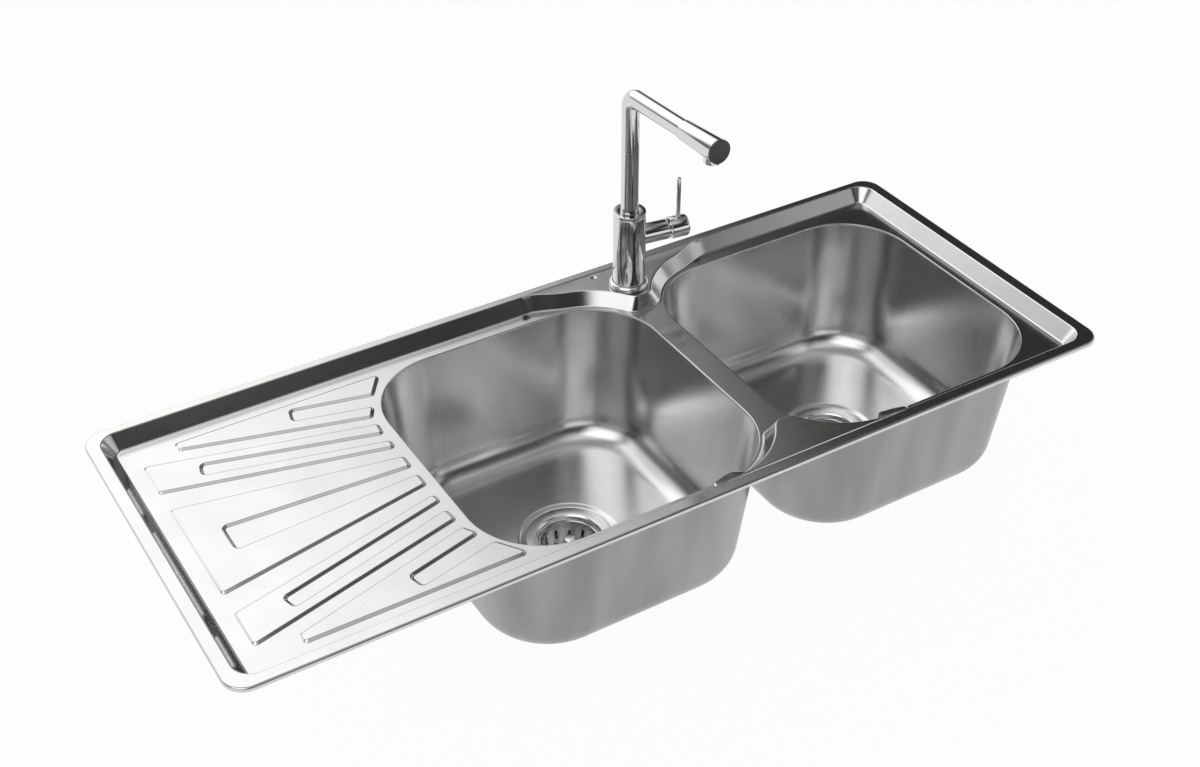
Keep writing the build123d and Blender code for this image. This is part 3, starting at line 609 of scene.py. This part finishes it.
# --------------------------------------------------------------------
# The strip under the rim: closed-cell foam rubber, extruded and stuck on, which seals the sink
# to the worktop. It is matt black with fine open pores where it was cut.
def moulded(name, colour, roughness, grain, depth, shade=0.85):
    """A moulded or extruded surface: its texture's size and height are grain and depth, in mm.

    Its tone varies softly down to the shade, in patches of 25 mm.
    """
    material, tree, place = new_material(name)
    texture = add(tree, "ShaderNodeTexNoise", {"Scale": 1 / (grain * mm), "Detail": 4.0},
                  {"Vector": place})
    clouds = add(tree, "ShaderNodeTexNoise", {"Scale": 40.0, "Detail": 2.0}, {"Vector": place})
    tint = add(tree, "ShaderNodeMix", {"A": linear(colour), "B": linear(colour, shade)},
               {"Factor": clouds.outputs["Fac"]}, data_type="RGBA")
    rough = add(tree, "ShaderNodeMapRange",
                {"To Min": roughness - 0.06, "To Max": roughness + 0.06},
                {"Value": texture.outputs["Fac"]})
    surfaced(tree, tint, rough, texture.outputs["Fac"], (0.4, depth), {"Specular IOR Level": 0.5})
    return material


def refinish(material, *names):
    """Gives pieces that stay as they are in the frame their material."""
    for name in names:
        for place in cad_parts[name].material_slots:
            place.material = material


# Black rubber foam with a cut skin: it has hardly any gloss, and its pores are dark specks that
# are drawn 0.6 mm wide, coarser than real, so that they show.
foam = moulded("foam_rubber_black", "#1B1B1C", 0.85, 0.6, 0.15)
refinish(foam, "rim_seal")


# --------------------------------------------------------------------
# The tap's body: a barrel turned and bored from brass, with the boss of its side valve, standing
# on a turned base ring. A hollow shank, two washers and a nut clamp it to the ledge from below.
body_radius, body_round = 21.6, 0.6
boss_radius, boss_start, boss_end = 13.9, 4, 52
valve_z = 72.0
tap_place = Matrix.Translation((tap_x, tap_y, 0))
valve_turn = Matrix.Rotation(radians(-8.0), 4, "Z")
valve_side = tap_place @ valve_turn
valve_place = (Matrix.Translation((tap_x, tap_y, valve_z)) @ valve_turn
               @ Matrix.Rotation(pi / 2, 4, "Y"))


def ease(piece, rounding):
    """Eases a piece's edges with a small rounding, and applies it."""
    edge = piece.modifiers.new("eased_edges", "BEVEL")
    edge.width = rounding * mm
    edge.segments = 3
    edge.limit_method = "ANGLE"
    edge.angle_limit = radians(30)
    edge.miter_outer = "MITER_ARC"
    edge.use_clamp_overlap = True
    eased = bmesh.new()
    eased.from_object(piece, bpy.context.evaluated_depsgraph_get())
    bmesh.ops.remove_doubles(eased, verts=eased.verts, dist=0.002 * mm)
    piece.modifiers.clear()
    eased.to_mesh(piece.data)
    eased.free()
    piece.data.set_sharp_from_angle(angle=radians(50))


def turned(name, outline, place, closed=False, steps=96, rounding=0.5):
    """A turned piece: (radius, height) pairs spun about the Z axis of its place, edges eased."""
    lathe = bmesh.new()
    rows = []
    for radius, height in outline:
        if radius == 0:
            rows.append([lathe.verts.new(place @ Vector((0, 0, height)) * mm)] * steps)
        else:
            rows.append([lathe.verts.new(place @ Vector((x, y, height)) * mm)
                         for x, y in arc((0, 0), radius, 0, 360, steps)])
    if closed:
        rows.append(rows[0])
    skin(lathe, rows)
    bmesh.ops.recalc_face_normals(lathe, faces=lathe.faces)
    piece = finished(name, lathe, 30)
    if rounding:
        ease(piece, rounding)
    return piece


def cut(piece, operation, *others):
    """Joins other solids to a piece, or takes them away from it, and applies it."""
    for other in others:
        step = piece.modifiers.new(other.name, "BOOLEAN")
        step.operation, step.object, step.solver = operation, other, "EXACT"
    applied(piece, 40)
    for other in others:
        bpy.data.objects.remove(other)


def bore(place, x, y, *steps):
    """A cutter for a bore about an axis at x, y of its place: (radius, start, end) of each step.

    It is turned a little about its axis, so that none of its edges meets an edge of the piece.
    """
    outline = [(radius, end) for radius, start, stop in steps for end in (start, stop)]
    outline = [(0, outline[0][1])] + outline + [(0, outline[-1][1])]
    off_edges = Matrix.Rotation(0.019, 4, "Z")
    return turned("bore", outline, place @ Matrix.Translation((x, y, 0)) @ off_edges, rounding=0)


def dress(piece, body, node, material):
    """Puts a finished piece on its body in the place of its CAD node."""
    piece.data.materials.clear()
    piece.data.materials.append(material)
    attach(piece, body)
    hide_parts(node)


def bright_metal(name, colour, roughness):
    """Polished or plated metal, a little hazier here and there, in patches of about 17 mm."""
    material, tree, place = new_material(name)
    haze = add(tree, "ShaderNodeTexNoise", {"Scale": 60.0, "Detail": 3.0}, {"Vector": place})
    gloss = add(tree, "ShaderNodeMapRange",
                {"From Min": 0.35, "From Max": 0.7,
                 "To Min": roughness, "To Max": roughness + 0.04},
                {"Value": haze.outputs["Fac"]})
    shader = add(tree, "ShaderNodeBsdfPrincipled", {"Base Color": linear(colour), "Metallic": 1.0},
                 {"Roughness": gloss.outputs["Result"]})
    add(tree, "ShaderNodeOutputMaterial", links={"Surface": shader.outputs["BSDF"]})
    return material


# Bright chromium plate over polished nickel: a slightly blue mirror with sharp reflections, and
# the faint haze that a polishing wheel leaves.
chrome = bright_metal("chrome_plate_polished", "#D6D8DA", 0.05)

body_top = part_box("tap_body")[1].z / mm
base_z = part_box("tap_base_ring")[0].z / mm
barrel = turned("tap_barrel", [
    (0, base_z), (body_radius, base_z), (body_radius, body_top), (0, body_top),
], tap_place, rounding=body_round)
cut(barrel, "UNION", turned("valve_boss", [
    (0, boss_start), (boss_radius, boss_start), (boss_radius, boss_end), (0, boss_end),
], valve_place, rounding=body_round))

# its bores: the spout's swivel, the shank's socket, the cartridge's seat and outlet port, and
# on each side an inlet with its channel, and the port from that to the cartridge
bores = [
    bore(tap_place, 0, 0, (4, 65.8, 83), (13, 83, 96), (18, 96, 109)),
    bore(tap_place, 0, 0, (16.4, -2, 14)),
    bore(valve_place, 0, 0, (11.5, 24, 54)),
    bore(valve_place, 3.2, 0, (1.6, 0.3, 25)),
]
for side in (-1, 1):
    bores.append(bore(valve_side, 6, 6 * side, (4.5, 13, 26), (3, 26, 77.8)))
    bores.append(bore(valve_place, -2.6, 4 * side, (1.6, 6.1, 25)))
cut(barrel, "DIFFERENCE", *bores)
dress(barrel, "sink", "tap_body", chrome)

base_ring = turned("tap_foot_ring", [
    (21.7, -0.5), (26, -0.5), (26, 4.0), (23.5, 6.5), (21.7, 6.5),
], tap_place, closed=True, rounding=0.8)
dress(base_ring, "sink", "tap_base_ring", chrome)

# Nitrile rubber, compression moulded: soft black with a satin gloss and the mould's fine grain,
# which is drawn 0.9 mm coarse so that it shows.
rubber = moulded("rubber_moulded_black", "#222223", 0.6, 0.9, 0.05)
refinish(rubber, "tap_base_gasket", "shank_rubber_washer")
# Free-cutting brass, turned and left bare: warm yellow, with the tool's rings round it that
# spread its highlights. They are drawn 0.8 mm apart, coarser than real, so that they show.
brass = brushed_metal("brass_turned_bare", "#C8AD6E", 0.25, [(0.1, 0.1, 1)], 0.8, 0.02)
refinish(brass, "tap_shank", "shank_nut")
# Mild steel with a coat of zinc: a pale blue-grey, duller than chrome, mottled at 3 mm.
zinc = brushed_metal("steel_zinc_coated", "#B9BCC0", 0.32, [(1, 1, 1)], 3.0, 0.01)
refinish(zinc, "shank_steel_washer")


# --------------------------------------------------------------------
# The swivel spout: one drawn brass tube bent once, with a turned sleeve, a pressed-in end cap
# and an aerator. Its foot turns in the barrel in two O-rings, held down by a ring nut.
spout_z = 277.0
spout_turn = Matrix.Rotation(radians(-86.0), 4, "Z")
arm_place = (Matrix.Translation((tap_x, tap_y, spout_z)) @ spout_turn
             @ Matrix.Rotation(pi / 2, 4, "Y"))
tube_radius, tube_wall, tube_foot, tube_reach, tube_bend = 11.75, 1.5, 94.0, 128.0, 14.0

ring_nut = turned("spout_collar", [
    (11.85, 103.5), (17.9, 103.5), (17.9, 107.4), (21.6, 107.4), (21.6, 111.9), (11.85, 111.9),
], tap_place, closed=True, rounding=0.7)
dress(ring_nut, "sink", "spout_ring_nut", chrome)


def new_tree(name, sockets):
    """A geometry tree with named inputs, and what its input node gives."""
    tree = bpy.data.node_groups.new(name, "GeometryNodeTree")
    tree.interface.new_socket("Geometry", in_out="OUTPUT", socket_type="NodeSocketGeometry")
    tree.interface.new_socket("Geometry", in_out="INPUT", socket_type="NodeSocketGeometry")
    for socket, kind in sockets.items():
        tree.interface.new_socket(socket, in_out="INPUT", socket_type="NodeSocket" + kind)
    return tree, add(tree, "NodeGroupInput").outputs


def ended(tree, geometry, finish):
    """Ends a tree as the export needs it: nothing left as instances, and the material set."""
    plain = add(tree, "GeometryNodeRealizeInstances", links={0: geometry})
    coated = add(tree, "GeometryNodeSetMaterial",
                 links={"Geometry": plain.outputs[0], "Material": finish})
    add(tree, "NodeGroupOutput", links={"Geometry": coated.outputs[0]})


def grown(piece, tree, sharp, values):
    """Runs a tree on a piece with its inputs set, and keeps the result as its plain mesh."""
    shaper = piece.modifiers.new(tree.name, "NODES")
    shaper.node_group = tree
    for socket in tree.interface.items_tree:
        if socket.in_out == "INPUT" and socket.name in values:
            shaper[socket.identifier] = values[socket.name]
    applied(piece, sharp)


# the tree sweeps two circles along a path with rounded corners: its outside and its inside
sweep, given = new_tree("tube_along_path", {
    "Outside": "Float", "Inside": "Float", "Bend": "Float", "Finish": "Material"})
line = add(sweep, "GeometryNodeMeshToCurve", links={"Mesh": given["Geometry"]}).outputs[0]
line = add(sweep, "GeometryNodeFilletCurve", {"Count": 20},
           {"Curve": line, "Radius": given["Bend"]}, mode="POLY").outputs[0]
walls = []
for wall in ("Outside", "Inside"):
    circle = add(sweep, "GeometryNodeCurvePrimitiveCircle", {"Resolution": 72},
                 {"Radius": given[wall]}).outputs[0]
    walls.append(add(sweep, "GeometryNodeCurveToMesh",
                     links={"Curve": line, "Profile Curve": circle}).outputs[0])
inner = add(sweep, "GeometryNodeFlipFaces", links={"Mesh": walls[1]})
both = add(sweep, "GeometryNodeJoinGeometry", links={0: walls[0]})
sweep.links.new(inner.outputs[0], both.inputs[0])
ended(sweep, both.outputs[0], given["Finish"])

path = bmesh.new()
corners = row_of(path, [tap_place @ spout_turn @ Vector(p) for p in (
    (0, 0, tube_foot), (0, 0, spout_z), (tube_reach, 0, spout_z))])
edges_of(path, corners, closed=False)
spout_tube = finished("spout_bent_tube", path)
grown(spout_tube, sweep, 40, {
    "Outside": tube_radius * mm, "Inside": (tube_radius - tube_wall) * mm,
    "Bend": tube_bend * mm, "Finish": chrome})

# its two ends are closed between the outside and the inside
tube = bmesh.new()
tube.from_mesh(spout_tube.data)
for at_arm in (False, True):
    rim = [edge for edge in tube.edges
           if edge.is_boundary and (edge.verts[0].co.z > spout_z / 2 * mm) == at_arm]
    bmesh.ops.bridge_loops(tube, edges=rim)
bmesh.ops.recalc_face_normals(tube, faces=tube.faces)
for face in tube.faces:
    face.smooth = True
tube.to_mesh(spout_tube.data)
tube.free()
spout_tube.data.set_sharp_from_angle(angle=radians(40))
dress(spout_tube, "spout", "spout_tube", chrome)

sleeve = turned("spout_end_sleeve", [
    (11.8, 108), (12.2, 108), (13.2, 109), (15.2, 173), (11.8, 173),
], arm_place, closed=True, rounding=0.3)
dress(sleeve, "spout", "spout_sleeve", chrome)

# Nylon, injection moulded in dark grey: an almost black disc with a satin gloss and a faint
# grain of the mould, which is drawn 0.8 mm coarse so that it shows.
dark_nylon = moulded("nylon_moulded_dark_grey", "#3A3B3D", 0.4, 0.8, 0.02)
end_cap = turned("spout_end_disc", [
    (0, 168), (11.75, 168), (11.75, 173), (15.2, 173), (15.2, 177), (0, 177),
], arm_place)
dress(end_cap, "spout", "spout_end_cap", dark_nylon)

nozzle_low, nozzle_high = (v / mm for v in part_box("aerator_housing"))
nozzle_x, nozzle_y = ((nozzle_low[k] + nozzle_high[k]) / 2 for k in (0, 1))
nozzle = turned("aerator_shell", [
    (9.0, 0), (10.5, 0), (10.5, 12), (7.0, 12), (7.0, 10.5), (9.0, 9.2),
], Matrix.Translation((nozzle_x, nozzle_y, nozzle_low.z)), closed=True, rounding=0.4)
dress(nozzle, "spout", "aerator_housing", chrome)

# Nylon, injection moulded in its own colour: warm off-white with a low gloss and faint flow
# marks, which are drawn 1.2 mm coarse so that they show.
nylon = moulded("nylon_moulded_white", "#DCDCD6", 0.45, 1.2, 0.02, 0.94)
refinish(nylon, "spout_slip_ring", "spout_bush", "aerator_insert")
refinish(rubber, "spout_lower_o_ring", "spout_upper_o_ring", "aerator_seal")
refinish(brass, "spout_foot")


# --------------------------------------------------------------------
# The side valve and its lever: a nylon cartridge with two lapped ceramic discs, held in the boss
# by a brass nut under a chromed dome. A grub screw holds the lever's hood on the steel spindle.

# Alumina ceramic, fired and lapped flat: dense and white, glossy and nearly without texture.
ceramic = moulded("ceramic_lapped_white", "#E9E7E0", 0.15, 2.0, 0.002, 0.97)
# Stainless steel bar, turned bright: cool grey with rings round it, drawn 0.6 mm apart to show.
steel = brushed_metal("steel_turned_bright", "#C9CACA", 0.2, [(0.2, 0.2, 1)], 0.6, 0.01)
refinish(rubber, "cartridge_seal")
refinish(nylon, "cartridge_body", "cartridge_turret")
refinish(ceramic, "fixed_disc", "moving_disc")
refinish(steel, "cartridge_spindle", "spindle_pin", "handle_grub_screw")
refinish(brass, "cartridge_nut")

dome = turned("valve_collar", [
    (8.2, 50.0), (11.4, 50.0), (11.4, 52), (13.9, 52), (13.9, 53.2), (10, 55.4), (8.2, 55.4),
], valve_place, closed=True, rounding=0.4)
dress(dome, "sink", "valve_dome", chrome)

hood = turned("lever_hood", [
    (0, 68), (2.95, 68), (2.95, 62), (12.6, 62), (12.6, 57.5), (15, 57.5), (15, 79),
    (14.5, 81), (13.4, 82.4), (11, 83), (0, 83),
], valve_place)
rod_hole = bore(valve_side, 70, 0, (3.05, 78.5, 95))
grub_hole = bore(valve_side, 65, 0, (2.05, 50, 72))
cut(hood, "DIFFERENCE", rod_hole, grub_hole)
dress(hood, "handle", "handle_hood", chrome)

rod_low, rod_high = (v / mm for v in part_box("lever_rod"))
rod_x, rod_y = ((rod_low[k] + rod_high[k]) / 2 for k in (0, 1))
rod = turned("lever_stalk", [(0, rod_low.z), (3, rod_low.z), (3, rod_high.z), (0, rod_high.z)],
             Matrix.Translation((rod_x, rod_y, 0)), steps=32, rounding=1.0)
dress(rod, "handle", "lever_rod", chrome)


# --------------------------------------------------------------------
# The basket wastes: pressed and polished stainless steel cups clamped through the bowls' floors,
# each with a spider that guides the stem, a lift-out sieve basket, its knob and a rubber stopper.
spider_bars, spider_reach, spider_width, spider_height, spider_low = 4, 22.0, 3.0, 3.0, -263.5
spider_ring, spider_bore, spider_overlap = 5.0, 2.5, 0.5
sieve_holes, sieve_ring, sieve_radius, sieve_depth = 20, 28.0, 2.0, 4.0
slot_count, slot_ring, slot_width, slot_height, slot_reach = 12, 38.4, 4.0, 12.0, 18.0
basket_low, basket_high, basket_sheet = -252.7, -221.5, 0.8


def around(tree, shape, count, radius, centre):
    """Copies of a shape set round a circle, each turned to face out from its centre."""
    ring = add(tree, "GeometryNodeMeshCircle", links={"Vertices": count, "Radius": radius})
    spot = add(tree, "GeometryNodeInputPosition")
    outwards = add(tree, "FunctionNodeAlignRotationToVector", links={"Vector": spot.outputs[0]},
                   axis="X")
    copies = add(tree, "GeometryNodeInstanceOnPoints", links={
        "Points": ring.outputs[0], "Instance": shape, "Rotation": outwards.outputs[0]})
    placed = add(tree, "GeometryNodeTransform",
                 links={"Geometry": copies.outputs[0], "Translation": centre})
    return add(tree, "GeometryNodeRealizeInstances", links={0: placed.outputs[0]}).outputs[0]


# the spider's bars, joined to the cup
spider, given = new_tree("spider_bars", {
    "Bars": "Int", "Middle": "Float", "Size": "Vector", "Centre": "Vector", "Finish": "Material"})
bar = add(spider, "GeometryNodeMeshCube", links={"Size": given["Size"]})
bars = around(spider, bar.outputs[0], given["Bars"], given["Middle"], given["Centre"])
joint = add(spider, "GeometryNodeMeshBoolean", links={1: given["Geometry"]}, operation="UNION",
            solver="EXACT")
spider.links.new(bars, joint.inputs[1])
ended(spider, joint.outputs[0], given["Finish"])

# the basket's holes and slots, punched out of it
sieve, given = new_tree("sieve_perforations", {
    "Holes": "Int", "Hole Ring": "Float", "Hole Radius": "Float", "Hole Depth": "Float",
    "Hole Centre": "Vector", "Slots": "Int", "Slot Ring": "Float", "Slot Size": "Vector",
    "Slot Centre": "Vector", "Finish": "Material"})
punch = add(sieve, "GeometryNodeMeshCylinder", {"Vertices": 20},
            {"Radius": given["Hole Radius"], "Depth": given["Hole Depth"]})
cutter = add(sieve, "GeometryNodeMeshCube", links={"Size": given["Slot Size"]})
holes = around(sieve, punch.outputs[0], given["Holes"], given["Hole Ring"], given["Hole Centre"])
slots = around(sieve, cutter.outputs[0], given["Slots"], given["Slot Ring"], given["Slot Centre"])
pierced = add(sieve, "GeometryNodeMeshBoolean", links={0: given["Geometry"], 1: holes},
              operation="DIFFERENCE", solver="EXACT")
sieve.links.new(slots, pierced.inputs[1])
ended(sieve, pierced.outputs[0], given["Finish"])

# Stainless steel sheet, pressed and tumbled bright: it shines like chrome but softer, so what
# it reflects has no sharp edges, and its colour is a little warmer.
polished = bright_metal("steel_polished_bright", "#DCDDDD", 0.2)

for side, centre in bowl_centre.items():
    place = Matrix.Translation((centre.x, centre.y, 0))
    spider_high = spider_low + spider_height
    cup = turned(f"{side}_waste_body", [
        (57, -215.5), (57, -214.7), (55.6, -213.5), (43.2, -213.5), (40.6, -215.6), (40.5, -257),
        (20, -257), (20, -287.5), (23.9, -287.5), (23.9, -259.5), (43, -259.5), (43, -215.5),
    ], place, closed=True, rounding=0.7)
    cut(cup, "UNION", turned("spider_hub", [
        (spider_bore, spider_low), (spider_ring, spider_low),
        (spider_ring, spider_high), (spider_bore, spider_high),
    ], place, closed=True, steps=32, rounding=0))
    bar_length = spider_reach - spider_ring + spider_overlap
    grown(cup, spider, 40, {
        "Bars": spider_bars, "Middle": (spider_reach + spider_ring - spider_overlap) / 2 * mm,
        "Size": Vector((bar_length, spider_width, spider_height)) * mm,
        "Centre": Vector((centre.x, centre.y, spider_low + spider_height / 2)) * mm,
        "Finish": polished})
    dress(cup, "sink", f"{side}_waste_cup", polished)

    basket = turned(f"{side}_basket_shell", [
        (3.05, basket_low), (32.4, basket_low), (38.4, basket_high - basket_sheet),
        (39.9, basket_high - basket_sheet), (39.9, basket_high), (37.6, basket_high),
        (31.6, basket_low + basket_sheet), (3.05, basket_low + basket_sheet),
    ], place, closed=True, rounding=0)
    grown(basket, sieve, 30, {
        "Holes": sieve_holes, "Hole Ring": sieve_ring * mm, "Hole Radius": sieve_radius * mm,
        "Hole Depth": sieve_depth * mm,
        "Hole Centre": Vector((centre.x, centre.y, basket_low)) * mm,
        "Slots": slot_count, "Slot Ring": slot_ring * mm,
        "Slot Size": Vector((slot_reach, slot_width, slot_height)) * mm,
        "Slot Centre": Vector((centre.x, centre.y, (basket_low + basket_high) / 2)) * mm,
        "Finish": polished})
    dress(basket, f"{side}_basket", f"{side}_basket", polished)

    knob = turned(f"{side}_basket_knob", [
        (0, -216.5), (6.5, -216.5), (8, -218), (8, -221.5), (3, -221.5),
        (3, -258), (2.4, -258), (2.4, -263.5), (0, -263.5),
    ], place, steps=48, rounding=0.4)
    dress(knob, f"{side}_basket", f"{side}_basket_stem", polished)
    refinish(rubber, f"{side}_waste_top_seal", f"{side}_waste_gasket", f"{side}_basket_stopper")
    refinish(nylon, f"{side}_waste_slip_ring", f"{side}_waste_lock_nut")
    refinish(polished, f"{side}_basket_clip")


# --------------------------------------------------------------------
# The studio: a pale floor that the outlets stand on, which curves up into a pale wall far round
# it. The sky gives the light: seven soft lamp panels on a dim grey, the strongest at the back.
ground_z = cad_low.z / mm
studio_radius, studio_sweep, studio_height = 4200.0, 900, 1300.0
sweep_steps, round_steps = 12, 96
studio = bmesh.new()
rows = []
for k in range(sweep_steps + 1):
    angle = pi / 2 * k / sweep_steps
    reach = studio_radius - studio_sweep + studio_sweep * sin(angle)
    rows.append(row_of(studio, [(x, y, ground_z + studio_sweep * (1 - cos(angle)))
                                for x, y in arc((0, 0), reach, 0, 360, round_steps)]))
rows.append(row_of(studio, [(x, y, ground_z + studio_height)
                            for x, y in arc((0, 0), studio_radius, 0, 360, round_steps)]))
skin(studio, rows, flip=True)
studio.faces.new(rows[0])
backdrop = finished("studio_floor", studio, 60)

# White background paper. To the camera and in reflections it is nearly plain white light, and
# the rest of it is matt and holds the sink's faint shadow.
paper_colour = "#F4F4F4"
paper_glow = 0.96
paper = bpy.data.materials.new("backdrop_paper_white")
paper.use_nodes = True
tree = paper.node_tree
tree.nodes.clear()
light = add(tree, "ShaderNodeLightPath").outputs
seen = add(tree, "ShaderNodeMath", links={0: light["Is Camera Ray"], 1: light["Is Glossy Ray"]},
           operation="ADD")
seen = add(tree, "ShaderNodeMath", links={0: seen.outputs[0], 1: light["Is Transmission Ray"]},
           operation="ADD", use_clamp=True)
share = add(tree, "ShaderNodeMath", {1: paper_glow}, {0: seen.outputs[0]}, operation="MULTIPLY")
matt = add(tree, "ShaderNodeBsdfDiffuse", {"Color": linear(paper_colour)})
glow = add(tree, "ShaderNodeEmission", {"Strength": 1.0})
mixed = add(tree, "ShaderNodeMixShader",
            links={0: share.outputs[0], 1: matt.outputs[0], 2: glow.outputs[0]})
add(tree, "ShaderNodeOutputMaterial", links={"Surface": mixed.outputs[0]})
backdrop.data.materials.append(paper)

# azimuth from +Y towards +X and elevation of each panel's middle, then the angles out from it
# across and up that are lit in full and not at all (degrees), and its strength
lamps = (
    (-11, 40, (17.5, 40.5), (20, 32), 1.9),
    (118, 30, (8, 31), (6, 15), 0.8),
    (205, 68, (20, 38), (8, 20), 0.6),
    (-117, 51, (16, 30), (10, 24), 1.6),
    (0, 90, (18, 34), (18, 34), 0.4),
    (88, 36, (6, 26), (18, 30), 0.3),
    (-95, 34, (28, 50), (14, 26), 0.25),
)
ambient = 0.045
grazing = 0.02  # a panel lights nothing at or behind this cosine off its middle
world = bpy.data.worlds.new("studio_light")
world.use_nodes = True
bpy.context.scene.world = world
tree = world.node_tree
tree.nodes.clear()
direction = add(tree, "ShaderNodeTexCoord").outputs["Generated"]
total = add(tree, "ShaderNodeValue")
total.outputs[0].default_value = ambient


def along(way):
    """How far the looked-at direction goes along another one."""
    return add(tree, "ShaderNodeVectorMath", {1: way}, {0: direction},
               operation="DOT_PRODUCT").outputs["Value"]


for azimuth, elevation, across, upright, strength in lamps:
    turn, tilt = radians(azimuth), radians(elevation)
    aim = Vector((sin(turn) * cos(tilt), cos(turn) * cos(tilt), sin(tilt)))
    side = Vector((cos(turn), -sin(turn), 0))
    facing = along(aim)
    ahead, lit = (add(tree, "ShaderNodeMath", {1: grazing}, {0: facing}, operation=kind).outputs[0]
                  for kind in ("MAXIMUM", "GREATER_THAN"))
    for way, (full, none) in ((side, across), (side.cross(aim), upright)):
        off = add(tree, "ShaderNodeMath", links={0: along(way), 1: ahead}, operation="DIVIDE")
        off = add(tree, "ShaderNodeMath", links={0: off.outputs[0]}, operation="ABSOLUTE")
        edge = add(tree, "ShaderNodeMapRange",
                   {"From Min": tan(radians(none)), "From Max": tan(radians(full))},
                   {"Value": off.outputs[0]}, interpolation_type="SMOOTHSTEP").outputs[0]
        lit = add(tree, "ShaderNodeMath", links={0: lit, 1: edge},
                  operation="MULTIPLY").outputs[0]
    total = add(tree, "ShaderNodeMath", {1: strength}, {0: lit, 2: total.outputs[0]},
                operation="MULTIPLY_ADD")
sky = add(tree, "ShaderNodeBackground", links={"Strength": total.outputs[0]})
add(tree, "ShaderNodeOutputWorld", links={"Surface": sky.outputs[0]})

# the camera stands to the left in front of the sink and looks down on it
camera_place = (-883.30, -1421.34, 1251.26)
camera_tilt, camera_yaw = 53.286, -31.3745
lens = bpy.data.cameras.new("photo_view")
lens.lens = 51.10
lens.sensor_width = 36.0
lens.clip_start, lens.clip_end = 0.05, 50.0
camera = bpy.data.objects.new("photo_view", lens)
camera.location = Vector(camera_place) * mm
camera.rotation_euler = (radians(camera_tilt), 0, radians(camera_yaw))
bpy.context.scene.collection.objects.link(camera)
bpy.context.scene.camera = camera

bpy.context.scene.view_settings.view_transform = "Standard"
